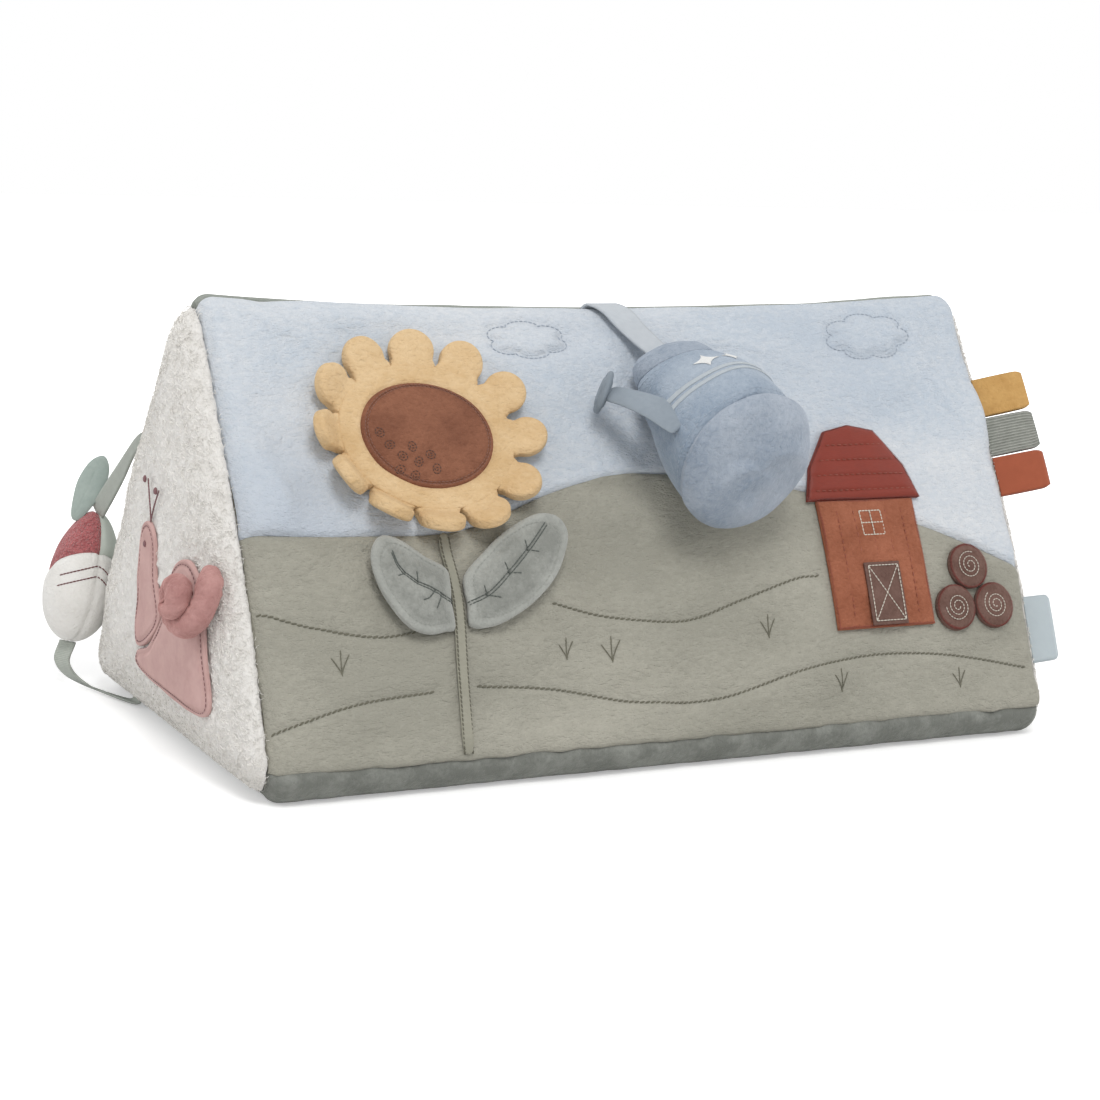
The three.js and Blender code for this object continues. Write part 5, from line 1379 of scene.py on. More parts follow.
# Stars: four-pointed, filled with white satin stitch, side by side on the body of
# the can, above its stripes.
white_thread = thread("white_thread", (0.86, 0.86, 0.84), (0.66, 0.67, 0.67), 0.4)
star_turn = radians(-7)


def add_star(name, run_mid, around_mid, size):
    def shape(around, down):
        angle = 2 * pi * around
        c, s = np.abs(cos(angle - star_turn)), np.abs(sin(angle - star_turn))
        reach = size / (sqrt(c) + sqrt(s)) ** 2
        share = sin(pi * down)
        a, b = reach * share * cos(angle), reach * share * sin(angle)
        out = 0.35 + 0.35 * cos(pi * down)
        radius = can_wall(run_mid)
        return on_can(run_mid + b, around_mid + a / (2 * pi * radius), out)[0]
    star = ball(name, 64, 12, shape)
    settle(star, white_thread, "can", "band_minky")


add_star("can_star_1", 29.0, 0.280, 8.0)
add_star("can_star_2", 29.5, 0.200, 6.8)

# Spout: a folded strip of grey-blue suede cloth, sewn into the side seam, with a small round
# head of the same cloth. The handle on the other side is a padded crescent.
spout_root, spout_tip, spout_flat = 17.5, 10.5, 6.5
spout_end = front(-23.0, 64.0, 17.0)
spout_run = 0.72 * can_long
spout_colour, spout_dark = (0.318, 0.362, 0.405), (0.220, 0.258, 0.298)
spout_away = way_out(-23.0, 64.0)
spout_start = can_point(spout_run, can_wall(spout_run) + 1.5, radians(158), 0)
spout_middle = (spout_start + spout_end) / 2 + spout_away * fabric


def spout_at(share):
    """The spout's middle line, which bows out a little"""
    share = np.asarray(share, float)[..., None]
    main = spout_start * (1 - share) * (1 - 2 * share) + spout_middle * 4 * share * (1 - share) \
        + spout_end * share * (2 * share - 1)
    straight_on = 4 * spout_middle - 3 * spout_start - spout_end
    return where(share < 0, spout_start + straight_on * share, main)


def spout_axes(share):
    ahead = unit(spout_at(share + 0.01) - spout_at(share - 0.01))
    wide = unit(np.cross(np.broadcast_to(spout_away, ahead.shape), ahead))
    return ahead, wide, np.cross(wide, ahead)


def spout_shape(around, down):
    share = -0.22 + 1.22 * down
    ahead, wide, thin = spout_axes(clip(share, 0.02, 0.99))
    angle = 2 * pi * around
    end = sqrt(clip(1 - (2 * down - 1) ** 30, 0, 1))
    width = (spout_root + (spout_tip - spout_root) * clip(share, 0, 1)) / 2 * end
    flat = spout_flat / 2 * end * (0.8 - 0.3 * clip(1 - share, 0, 1))
    c, s = cos(angle), sin(angle)
    a = width * np.sign(c) * np.abs(c) ** 0.9
    b = flat * np.sign(s) * np.abs(s) ** 1.2 * 0.9
    return spout_at(clip(share, -0.22, 1)) + a[:, None] * wide + b[:, None] * thin


spout_cloth = plush("spout_suede", spout_colour, spout_dark, patch=60, fibre=2600, depth=0.00018, contrast=0.6,
                    sheen=0.2)
spout = ball("can_spout_suede", 40, 48, spout_shape)
settle(spout, spout_cloth, "can", "spout_suede", "can_spout", 0.3)

rose_wide, rose_thick = 21.0, 5.0
rose_ahead, rose_side, rose_thin = (a[0] for a in spout_axes(array([0.99])))
rose_centre = spout_end + rose_ahead * (gap + rose_thick / 2)
# the head hangs turned a little away from the spout's own line
rose_ahead = unit(array([-0.80, 0.42, 0.30]))
rose_side = unit(rose_side - rose_ahead * rose_side.dot(rose_ahead))
rose_thin = np.cross(rose_side, rose_ahead)


def rose_shape(around, down):
    angle = 2 * pi * around
    reach = rose_wide / 2 * sin(pi * down) ** 0.6
    high = rose_thick / 2 * cos(pi * down)
    groove = 0.7 * exp(-((reach - rose_wide * 0.38) / 0.8) ** 2)
    high = high - np.sign(high) * groove * (np.abs(high) > 0.3)
    a, b = reach * cos(angle), reach * sin(angle) * 0.96
    return rose_centre + a[:, None] * rose_side + b[:, None] * rose_thin + high[:, None] * rose_ahead


rose_cloth = plush("rose_suede", (0.275, 0.315, 0.355), (0.185, 0.218, 0.252), patch=90, fibre=2600, depth=0.00018,
                   contrast=0.7, sheen=0.2)
rose = ball("can_rose_suede", 48, 28, rose_shape)
settle(rose, rose_cloth, "can", "spout_suede", "can_rose", 0.4)

handle_span, handle_reach, handle_thick = 27.0, 9.0, 5.0


def handle_shape(around, down):
    share = down
    bow = sin(pi * clip(share, 0, 1))
    run_at = can_long - handle_span * (1.1 - share)
    base = can_wall(run_at) + 0.2
    reach = (fabric + (handle_reach + 0.6 - fabric) * bow) * sqrt(clip(1 - (2 * share - 1) ** 16, 0, 1))
    angle = 2 * pi * around
    out = 0.5 * reach * (1 + cos(angle))
    lift_at = 0.5 * handle_thick * sin(angle) * np.abs(sin(angle)) ** 0.2 * sqrt(clip(bow + 0.05, 0, 1))
    return can_point(run_at, base + out, -0.06 + lift_at / can_wall(run_at), 0)


handle = ball("can_handle_suede", 32, 40, handle_shape)
settle(handle, rose_cloth, "can", "spout_suede", "can_handle", 0.5)

# Barn: a wall of rust plush and a dark red satin roof, sewn flat with a thin pad below and
# satin stitch along the edges. The brown door is sewn over the wall.
barn_x, barn_t, wall_wide, wall_tall, roof_tall, eaves = 112.0, 128.0, 55.0, 62.0, 38.0, 5.0
barn_thick, barn_crown, plank_wide = 2.6, 1.6, 9.2
wall_t = barn_t + roof_tall / 2
roof_t = barn_t - wall_tall / 2 - gap
rust_colour, rust_shade = (0.410, 0.152, 0.087), (0.252, 0.083, 0.043)
roof_red, roof_dark = (0.250, 0.036, 0.020), (0.155, 0.022, 0.012)


def corners_to_line(corners, count):
    """A closed outline of straight sides, evenly spaced"""
    p = array(list(corners) + [corners[0]], float)
    steps = steps_of(p)
    return read_line(linspace(0, steps[-1], count), steps, p)


def patch(name, outline, thick, crown, low, relief=None, segments=200, rings=56, round_edge=1.1):
    """A sewn-on patch over a thin pad: flat below, its edge pulled down by the stitching"""
    def shape(around, down):
        x, t, under = spread(outline, around, down, 0.86, 0.92, 0.75)
        off = from_line(x, t, outline)
        high = low + thick + crown * (1 - exp(-off / 9)) - round_edge * exp(-off / 1.2)
        if relief is not None:
            high = high + relief(x, t, off)
        return front(x, t, high * (1 - under) + low * under)

    return ball(name, segments, rings, shape)


def satin_edge(name, outline, made, body, slot, high, long=2.4, wide=0.62, inset=1.0):
    """Close satin stitches laid across an edge"""
    centre = outline[:-1].mean(axis=0)
    steps = steps_of(outline)
    at = np.arange(0, steps[-1], 0.72)
    line = read_line(at, steps, outline)
    ahead = np.roll(line, -1, axis=0) - np.roll(line, 1, axis=0)
    ahead = ahead / maximum(np.linalg.norm(ahead, axis=1), 1e-6)[:, None]
    inwards = stack([-ahead[:, 1], ahead[:, 0]], axis=-1)
    inwards = where(((centre - line) * inwards).sum(axis=1)[:, None] < 0, -inwards, inwards)
    a, b = line + inwards * (inset + long / 2), line + inwards * (inset - long / 2)
    rows = []
    for p, q in zip(a, b):
        x, t = array([p[0], q[0]]), array([p[1], q[1]])
        rows.append(on_cover(x, t, array([high, high - 0.9])))
    sew(name, rows, made, body, slot, long=long, wide=wide, between=0.2, raised=0.0)


def wall_relief(x, t, off):
    h = 0.35 * soft_noise(x, t, 14, 101)
    for plank in range(-2, 3):
        h = h - 0.4 * exp(-((x - barn_x - plank * plank_wide) / 0.9) ** 2) * clip(off / 3, 0, 1)
    return h


left, right_side = barn_x - wall_wide / 2, barn_x + wall_wide / 2
wall_top, wall_foot = wall_t - wall_tall / 2, wall_t + wall_tall / 2
wall_line = corners_to_line([(left, wall_top), (right_side, wall_top), (right_side, wall_foot), (left, wall_foot)], 401)
rust_plush = plush("rust_plush", rust_colour, rust_shade, patch=60, fibre=800, depth=0.0011, contrast=0.8, sheen=0.3,
                   stretch=(0.8, 1, 1.1))
wall = patch("barn_wall_plush", wall_line, barn_thick, barn_crown, rest, wall_relief)
settle(wall, rust_plush, "bolster", "rust_fabric", "barn_wall", 0.4)
rust_thread = thread("rust_thread", (0.330, 0.085, 0.045), (0.215, 0.050, 0.028), 0.45)
satin_edge("barn_wall_stitches", wall_line, rust_thread, "bolster", "rust_fabric", rest + barn_thick - 0.1)


def on_patch(x, t, outline, sunk, thick=barn_thick, crown=barn_crown):
    """Points on a patch, sunk a little into it, and the way out there"""
    return on_cover(x, t, rest + thick + crown * (1 - exp(-from_line(x, t, outline) / 9)) - sunk)


def ruled(p, q, count):
    """The two coordinates of a straight line's points"""
    share = linspace(0, 1, count)
    return p[0] + (q[0] - p[0]) * share, p[1] + (q[1] - p[1]) * share


plank_rows = []
for plank in range(-2, 3):
    t = linspace(wall_top + 5, wall_foot - 5, 30)
    # the inner joints stop above the door
    if abs(plank) < 2:
        t = t[t < wall_foot - 34]
    plank_rows.append(on_patch(np.full(len(t), barn_x + plank * plank_wide), t, wall_line, 0.35))
sew("barn_plank_stitches", plank_rows, rust_thread, "bolster", "rust_fabric", long=2.4, wide=0.5, between=1.0)

roof_shares = ((-0.5, 0.5), (-0.42, 0.06), (-0.22, -0.42), (0, -0.5), (0.22, -0.42), (0.42, 0.06), (0.5, 0.5))
roof_line = corners_to_line(
    [(barn_x + a * (wall_wide + 2 * eaves), roof_t + b * roof_tall) for a, b in roof_shares], 401)


def satin_cloth(name, colour, dark):
    """Satin: long parallel threads with a quiet gloss"""
    made, tree, shader, place = new_material(name, 0.42, 0.1)
    laid = add(tree, "Mapping", {"Scale": (0.12, 1, 1)})
    grain = add(tree, "TexNoise", {"Scale": 3200, "Detail": 2})
    broad = add(tree, "TexNoise", {"Scale": 90})
    half = add(tree, "Math", {1: 0.5}, operation="MULTIPLY")
    both = add(tree, "Math", {1: 0.6}, operation="MULTIPLY_ADD")
    gloss = add(tree, "MapRange", {"To Min": 0.34, "To Max": 0.6})
    wire(tree, (place, "Object", laid, "Vector"), (laid, "Vector", grain, "Vector"),
         (place, "Object", broad, "Vector"), (broad, "Fac", half, 0), (grain, "Fac", both, 0), (half, 0, both, 2),
         (broad, "Fac", gloss, "Value"), (gloss, "Result", shader, "Roughness"))
    colour_by(tree, shader, both, 0, dark, colour)
    raise_by(tree, shader, grain, "Fac", 0.00012)
    return made


def roof_relief(x, t, off):
    h = 0.3 * soft_noise(x, t, 12, 111)
    for row in range(4):
        h = h - 0.45 * exp(-((t - roof_t - roof_tall * (row * 0.2 - 0.22)) / 1.0) ** 2) * clip(off / 3, 0, 1)
    return h


red_satin = satin_cloth("red_satin_cloth", roof_red, roof_dark)
roof = patch("barn_roof_satin", roof_line, barn_thick, barn_crown, rest, roof_relief)
settle(roof, red_satin, "bolster", "red_satin", "barn_roof", 0.4)
red_thread = thread("red_thread", (0.200, 0.032, 0.020), (0.110, 0.020, 0.014), 0.4)
satin_edge("barn_roof_stitches", roof_line, red_thread, "bolster", "red_satin", rest + barn_thick - 0.1)
course_rows = []
for row in range(4):
    t_row = roof_t + roof_tall * (row * 0.2 - 0.22)
    half = interp(t_row, [roof_t + b * roof_tall for b in (-0.5, -0.42, 0.06, 0.5)],
                  [a * (wall_wide + 2 * eaves) for a in (0.02, 0.22, 0.42, 0.5)]) - 3.5
    x, t = ruled((barn_x - half, t_row), (barn_x + half, t_row), 30)
    course_rows.append(on_patch(x, t, roof_line, 0.35))
sew("barn_roof_rows", course_rows, rust_thread, "bolster", "red_satin", long=2.4, wide=0.5, between=0.8)

door_wide, door_tall, door_thick = 20.0, 30.0, 1.2
door_t = wall_foot - door_tall / 2 - gap
door_low = rest + barn_thick + barn_crown + gap
door_line = corners_to_line([
    (barn_x - door_wide / 2, door_t - door_tall / 2), (barn_x + door_wide / 2, door_t - door_tall / 2),
    (barn_x + door_wide / 2, door_t + door_tall / 2), (barn_x - door_wide / 2, door_t + door_tall / 2)], 241)
door = patch("barn_door_plush", door_line, door_thick - 0.1, 0.3, door_low, None, 120, 36, 0.5)
door_brown = plush("door_plush", (0.205, 0.122, 0.100), (0.118, 0.065, 0.052), patch=80, fibre=800, depth=0.0009,
                   contrast=0.8)
settle(door, door_brown, "bolster", "bale_plush", "barn_door", 0.2)
cream_thread = thread("cream_thread", (0.76, 0.71, 0.62), (0.55, 0.50, 0.42), 0.5)
brace_rows = []
for p, q in (((-0.42, -0.44), (0.42, 0.44)), ((0.42, -0.44), (-0.42, 0.44)), ((-0.42, -0.44), (0.42, -0.44)),
             ((-0.42, 0.44), (0.42, 0.44)), ((-0.42, -0.44), (-0.42, 0.44)), ((0.42, -0.44), (0.42, 0.44))):
    a, b = ruled(p, q, 12)
    x, t = barn_x + door_wide * a, door_t + door_tall * b
    brace_rows.append(on_cover(x, t, door_low + door_thick + 0.1))
sew("barn_door_stitches", brace_rows, cream_thread, "bolster", "bale_plush", long=1.8, wide=0.6, between=0.1)
# a loft window, worked in cream thread on the wall
window_rows = []
for p, q in (((-6, -7), (6, -7)), ((-6, 5), (6, 5)), ((-6, -7), (-6, 5)), ((6, -7), (6, 5)), ((0, -7), (0, 5)),
             ((-6, -1), (6, -1))):
    a, b = ruled(p, q, 10)
    window_rows.append(on_patch(barn_x + a, wall_top + 13 + b, wall_line, 0))
sew("barn_window_stitches", window_rows, cream_thread, "bolster", "rust_fabric", long=1.8, wide=0.7, between=0.0)

# Hay bales: three round patches of brown plush beside the barn, each with a dark red border
# and a winding line of cream stitching.
bale_radius, bale_thick, bale_crown, bale_spacing = 11.0, 3.0, 1.6, 22.8
bale_x = barn_x + wall_wide / 2 + bale_spacing / 2 + bale_radius * 1.25
bale_t = wall_t + wall_tall / 2 - bale_spacing / 2 - bale_radius / 2
bale_plush = plush("bale_plush_brown", (0.225, 0.135, 0.112), (0.125, 0.068, 0.054), patch=80, fibre=800,
                   depth=0.0012, contrast=0.9, sheen=0.35)
for k, (a, b) in enumerate(((-0.5, 0.433), (0.5, 0.433), (0, -0.433))):
    x0, t0 = bale_x + a * bale_spacing, bale_t + b * bale_spacing
    angle = linspace(0, 2 * pi, 181)
    line = stack([x0 + bale_radius * cos(angle), t0 + bale_radius * sin(angle)], axis=-1)
    spiral_angle = linspace(0, 5 * pi, 120)
    spiral_reach = 1.0 + (bale_radius * 0.62 - 1.0) * spiral_angle / (5 * pi)
    wound = spiral_angle + k
    spiral = stack([x0 + spiral_reach * cos(wound), t0 + spiral_reach * sin(wound)], axis=-1)

    def bale_relief(x, t, off, spiral=spiral, seed=121 + k):
        return -0.5 * exp(-(from_line(x, t, spiral) / 1.0) ** 2) + 0.25 * soft_noise(x, t, 8, seed)

    piece = patch(f"hay_bale_{k + 1}_plush", line, bale_thick, bale_crown, rest, bale_relief, 96, 48)
    settle(piece, bale_plush, "bolster", "bale_plush", f"hay_bale_{k + 1}", 0.5)
    satin_edge(f"hay_bale_{k + 1}_edge", line, red_thread, "bolster", "bale_plush", rest + bale_thick - 0.1, long=2.6)
    row = [on_patch(spiral[:, 0], spiral[:, 1], line, 0.3, bale_thick, bale_crown)]
    sew(f"hay_bale_{k + 1}_spiral", row, cream_thread, "bolster", "bale_plush", long=1.5, wide=0.55, between=0.1)

# Tags and label: short loops of ribbon, folded and caught in the right end seam. Yellow plush
# tape, ribbed grey-green tape, rust tape, and lower down a thin pale woven label, left bare.
tag_long, tag_thick, tag_wide, tag_first, tag_pitch = 23.5, 3.0, 20.0, 52.5, 21.0
label_long, label_thick, label_wide, label_t = 11.0, 1.3, 33.0, 166.0
tag_lean = radians(28)


def add_tag(name, body, t, long, thick, wide, made, slot_name, drift):
    seam = front(length / 2, t, 0)
    lifted, along, downhill = axes_at(length / 2 - edge_radius, t)
    out = unit(array([cos(tag_lean), 0, 0]) + lifted * sin(tag_lean))
    down_seam = unit(downhill - out * downhill.dot(out))
    face = np.cross(down_seam, out)
    root = seam + out * (seam_rim + 2 * gap)
    cloth = 0.9 if thick > 2 else 0.45

    def shape(u, v):
        # u runs out along one layer, round the fold, and back along the other
        loop = 2 * u - 1
        reach = 1 - np.abs(loop)
        fold = clip(reach / 0.9, 0, 1)
        spread = (thick / 2 - cloth / 2) * (0.55 + 0.45 * sin(pi * clip(reach * 0.95, 0, 1)))
        spread = spread * sqrt(clip(1 - clip((reach - 0.9) / 0.1, 0, 1) ** 2, 0, 1))
        far = long * reach - 1.5 * (1 - fold)
        bow = drift * 1.2 * (reach ** 2) + 0.4 * sin(3 * v + drift) * reach
        side = np.sign(loop) * spread
        width = wide * (1 - 0.02 * reach - 0.13 * clip((reach - 0.8) / 0.2, 0, 1) ** 2.5)
        return (root + out * far[:, None] + down_seam * ((v - 0.5) * width)[:, None]
                + face * (side + bow)[:, None])

    tag = grid(name, 72, 18, shape)
    apply(tag, "SOLIDIFY", thickness=cloth * mm, offset=0)
    settle(tag, made, "bolster", slot_name, body, None, body, root, root + out * min(5, long / 2))


yellow_tape = plush("yellow_tape", (0.640, 0.395, 0.150), (0.470, 0.265, 0.088), patch=90, fibre=900, depth=0.0009,
                    contrast=0.8, sheen=0.4)
ribbed_tape = ribbon_material("ribbed_tape", (0.430, 0.440, 0.400), (0.150, 0.158, 0.135), ribs=27, depth=0.0012,
                              along=1)
rust_tape = ribbon_material("rust_tape", (0.400, 0.100, 0.045), (0.290, 0.068, 0.030), ribs=300, depth=0.00012)
label_tape = ribbon_material("label_tape", (0.56, 0.63, 0.66), (0.49, 0.56, 0.60), ribs=1500, depth=0.00006)
middle_t = tag_first + tag_wide / 2
add_tag("tag_yellow_tape", "tag_yellow", middle_t, tag_long, tag_thick, tag_wide, yellow_tape, "yellow_tag", 0.5)
add_tag("tag_ribbed_tape", "tag_ribbed", middle_t + tag_pitch, tag_long, tag_thick, tag_wide, ribbed_tape,
        "ribbed_tag", -0.3)
add_tag("tag_rust_tape", "tag_rust", middle_t + 2 * tag_pitch, tag_long, tag_thick, tag_wide, rust_tape,
        "rust_tag", 0.35)
add_tag("blank_label_tape", "blank_label", label_t + label_wide / 2, label_long, label_thick, label_wide, label_tape,
        "label_satin", 0.3)

# Snail: two pieces of pink suede cloth sewn flat to the left end, for the foot and the neck,
# with dark stitching along their edges.
snail_thick, snail_rise, snail_y, snail_z, snail_wide, snail_tall = 1.3, 0.8, -23.5, 19.0, 145.0, 184.0
stitch_inset = 2.2
foot_shares = (
    (-0.34, 0.085), (-0.29, 0.21), (-0.235, 0.34), (-0.15, 0.405), (-0.05, 0.375), (0.02, 0.25), (0.13, 0.155),
    (0.255, 0.115), (0.265, 0.075), (0.05, 0.058), (-0.22, 0.058))
neck_shares = (
    (0.055, 0.228), (0.095, 0.33), (0.110, 0.41), (0.160, 0.450), (0.220, 0.43), (0.245, 0.34), (0.255, 0.25),
    (0.262, 0.135), (0.15, 0.158))
outline_ring = outline_at(linspace(0, 1, 721)[:-1]) - (0, end_share * height)
outline_angle = arctan2(outline_ring[:, 1], outline_ring[:, 0])
outline_reach = hypot(outline_ring[:, 0], outline_ring[:, 1])


def left_end(y, z, h):
    """A point of the left end's crown, h above it"""
    dy, dz = y, z - end_share * height
    order = np.argsort(outline_angle)
    edge = interp(arctan2(dz, dy), outline_angle[order], outline_reach[order], period=2 * pi)
    share = clip(hypot(dy, dz) / edge, 0, 1)
    x = -(length / 2 + seam_rim + (end_crown - seam_rim) * sqrt(1 - share ** 3)) - h
    return stack(np.broadcast_arrays(x, y, z), axis=-1)


suede_cloth = plush("pink_suede_cloth", (0.610, 0.415, 0.390), (0.480, 0.305, 0.285), patch=90, fibre=2600,
                    depth=0.00015, contrast=0.8, sheen=0.25)
plum_thread = thread("plum_thread", (0.250, 0.120, 0.125), (0.150, 0.070, 0.075))
for node, shares in (("snail_foot", foot_shares), ("snail_neck", neck_shares)):
    outline = closed_line([(a * snail_wide + snail_y, b * snail_tall + snail_z) for a, b in shares], 301)
    centre = outline[:-1].mean(axis=0)

    def suede_shape(around, down, outline=outline):
        y, z, under = spread(outline, around, down, 0.84, 0.9)
        off = from_line(y, z, outline)
        high = snail_rise + snail_thick + 1.0 + 0.35 * soft_noise(y, z, 12, 131)
        high = high - 0.9 * exp(-((off - stitch_inset) / 1.1) ** 2) - 0.8 * exp(-off / 0.7)
        return left_end(y, z, high * (1 - under) + snail_rise * under)

    piece = ball(f"{node}_suede", 200, 60, suede_shape)
    settle(piece, suede_cloth, "bolster", "pink_suede", node)
    inset = outline + stitch_inset * unit(centre - outline)
    points = left_end(inset[:, 0], inset[:, 1], snail_rise + snail_thick + 0.4)
    row = [(points, np.repeat([[-1.0, 0, 0]], len(points), axis=0))]
    sew(f"{node}_stitches", row, plum_thread, "bolster", "pink_suede", long=1.8, wide=0.5, between=0.5)

# The snail's two feelers are stitched lines with a knot at each end, and its eye is a knot
feeler_rows = []
for y_share, z_share in ((0.105, 0.535), (0.205, 0.550)):
    share = linspace(0, 1, 14)
    y = snail_y + snail_wide * (0.160 + (y_share - 0.160) * share)
    z = snail_z + snail_tall * (0.452 + (z_share - 0.452) * share ** 0.8)
    feeler_rows.append((left_end(y, z, fibre_rise + 0.5), np.repeat([[-1.0, 0, 0]], 14, axis=0)))
sew("snail_feeler_stitches", feeler_rows, plum_thread, "bolster", "pink_suede", long=2.4, wide=1.0, between=-1.0)
for k, (y_share, z_share, size) in enumerate(((0.105, 0.535, 1.6), (0.205, 0.550, 1.6), (0.178, 0.395, 1.5))):
    def knot_shape(around, down, y_share=y_share, z_share=z_share, size=size):
        angle, reach = 2 * pi * around, size * sin(pi * down) * (1 + 0.08 * sin(10 * pi * around))
        y = snail_y + snail_wide * y_share + reach * cos(angle)
        z = snail_z + snail_tall * z_share + reach * sin(angle)
        return left_end(y, z, snail_rise + snail_thick + 1.0 + 0.8 * cos(pi * down))
    knot = ball(f"snail_knot_{k + 1}", 24, 14, knot_shape)
    settle(knot, plum_thread, "bolster", "pink_suede")

# Snail shell: a long roll of deep pink plush, sewn on by its upper end and wound into itself,
# so that it stands out from the end panel.
coil_y, coil_z, coil_tube, coil_tip, coil_swell = -60.0, 80.0, 4.1, 2.1, 2.0
coil_reach, coil_core, coil_turns, coil_lift = 12.8, 1.5, 1.6, 13.5


def coil_at(share):
    share = np.asarray(share, float)
    angle = pi / 2 + 2 * pi * coil_turns * share
    reach = coil_reach + (coil_core - coil_reach) * share
    late = clip((share - 0.7) / 0.3, 0, 1)
    first = minimum(1, 0.55 + 6 * share)
    radius = coil_tube * first * (1 - late) + coil_tip * late
    pads = (snail_rise + snail_thick) * minimum(1, 6 * share)
    level = (radius + gap) * 1.13 + pads + coil_lift * clip(share, 0, 1) ** 1.2
    middle = left_end(coil_y + cos(angle) * reach * 0.8, coil_z + sin(angle) * reach, level)
    outwards = stack([np.zeros_like(angle), cos(angle), sin(angle)], axis=-1)
    return middle, radius, outwards


def coil_shape(around, down):
    middle, radius, outwards = coil_at(clip(down, 0.004, 0.996))
    end = sqrt(clip(1 - (2 * down - 1) ** 24, 0, 1))
    angle = 2 * pi * around
    radius = (radius + coil_swell) * end * (1 + 0.06 * soft_noise(around * 6, down * 60, 1, 141))
    sideways = array([-1.0, 0, 0])
    return middle + outwards * (cos(angle) * radius)[:, None] + sideways * (sin(angle) * radius)[:, None]


coil_plush = plush("coil_plush", (0.590, 0.345, 0.320), (0.370, 0.185, 0.172), patch=80, fibre=1100, depth=0.0011,
                   contrast=0.9, sheen=0.5)
coil = ball("snail_shell_coil", 48, 260, coil_shape)
apply(coil, "DISPLACE", texture=curl_push, texture_coords="LOCAL", strength=0.0004, mid_level=0.5)
coil_root = left_end(array(coil_y), array(coil_z + coil_reach + coil_tube), rest)
settle(coil, coil_plush, "bolster", "pink_plush", "snail_coil", 0.8,
       "snail_coil", coil_root, coil_root + (-3.5, 0, -3.5))

# Radish: a stuffed egg in three fabrics. The lower part is white plush with a seam down its
# middle, the upper outer side is red terry, and the upper inner side is pale green suede.
radish_x, radish_y, radish_z, radish_wide, radish_deep, radish_tall = -214.5, 108.0, 53.0, 33.0, 34.0, 65.0
radish_taper, radish_tilt, radish_front = 0.16, radians(12), -118.0
cap_z, cap_tilt, cap_turn, seam_turn = 3.0, radians(40), radians(180), radians(6)
radish_middle = array([radish_x, radish_y, radish_z])
tilt_matrix = array([
    [cos(radish_tilt), 0, sin(radish_tilt)], [0, 1, 0], [-sin(radish_tilt), 0, cos(radish_tilt)]])
cap_normal = array([
    sin(cap_tilt) * sin(cap_turn), -sin(cap_tilt) * cos(cap_turn), cos(cap_tilt)])
upright_normal = array([cos(seam_turn), sin(seam_turn), 0.0])


def radish_skin(local):
    """Draws the egg in along its three seams, and lets it puff between them"""
    length_of = np.linalg.norm(local, axis=-1, keepdims=True)
    away = local / maximum(length_of, 1e-6)
    from_cap = np.abs(local @ cap_normal - cap_z)
    above = local @ cap_normal > cap_z
    from_side = np.abs(local @ upright_normal)
    dip = 1.1 * exp(-(from_cap / 1.5) ** 2)
    dip += where(above, 1.0 * exp(-(from_side / 1.4) ** 2), 0.9 * exp(-(from_side / 1.3) ** 2))
    swell = 0.5 * soft_noise(local[:, 0] + 2 * local[:, 1], local[:, 2], 11, 151)
    return local + away * (swell - dip)[:, None]


def egg_shape(around, down):
    angle = 2 * pi * around
    z = cos(pi * down)
    swell = 1 - radish_taper * z
    ring = sin(pi * down) * swell
    return stack([ring * cos(angle) * radish_deep / 2, ring * sin(angle) * radish_wide / 2,
                  z * radish_tall / 2], axis=-1)


def cut(piece, point, normal, keep_above):
    """Cuts a closed piece by a plane, keeps one side, and closes it"""
    bpy.ops.object.select_all(action="DESELECT")
    bpy.context.view_layer.objects.active = piece
    piece.select_set(True)
    bpy.ops.object.mode_set(mode="EDIT")
    bpy.ops.mesh.select_all(action="SELECT")
    bpy.ops.mesh.bisect(plane_co=tuple(point), plane_no=tuple(normal), use_fill=True,
                        clear_inner=keep_above, clear_outer=not keep_above)
    bpy.ops.object.mode_set(mode="OBJECT")


def radish_part(name, cuts):
    """The egg cut down to one of its parts, then drawn in at the seams and set in place"""
    piece = ball(name, 96, 72, egg_shape)
    for normal, offset, keep_above in cuts:
        cut(piece, normal * offset * mm, normal, keep_above)
    set_points(piece, radish_skin(points_of(piece) / mm) @ tilt_matrix.T + radish_middle)
    return piece


white_plush = plush("white_plush", (0.82, 0.81, 0.785), (0.71, 0.695, 0.66), patch=70, fibre=1000, depth=0.0008,
                    contrast=0.7, sheen=0.3)
# the darker red is painted shade in the hollows between the terry loops
red_terry = curls("red_terry", (0.570, 0.165, 0.170), (0.330, 0.060, 0.065), 620, 0.0014)
pale_suede = plush("pale_green_suede", (0.560, 0.600, 0.550), (0.450, 0.490, 0.440), patch=70, fibre=3000,
                   depth=0.00012, contrast=0.7)
for name, node, made, slot_name, cuts in (
    ("radish_white_plush", "radish_body", white_plush, "white_plush", ((cap_normal, cap_z, False),)),
    ("radish_red_terry", "radish_cheek", red_terry, "red_terry",
     ((cap_normal, cap_z, True), (upright_normal, 0.0, False))),
    ("radish_green_suede", "radish_flank", pale_suede, "sage_suede",
     ((cap_normal, cap_z, True), (upright_normal, 0.0, True))),
):
    piece = radish_part(name, cuts)
    settle(piece, made, "radish", slot_name, node, 0.9)


def on_radish(around_degrees, down_degrees):
    """Points on the radish by the turn from its front and the angle down from its top, and the way out"""
    around = np.radians(radish_front + np.asarray(around_degrees, float))
    down = np.radians(np.asarray(down_degrees, float))
    local = egg_shape(around / (2 * pi), down / pi)
    shaped = radish_skin(local)
    return shaped @ tilt_matrix.T + radish_middle, unit(local) @ tilt_matrix.T


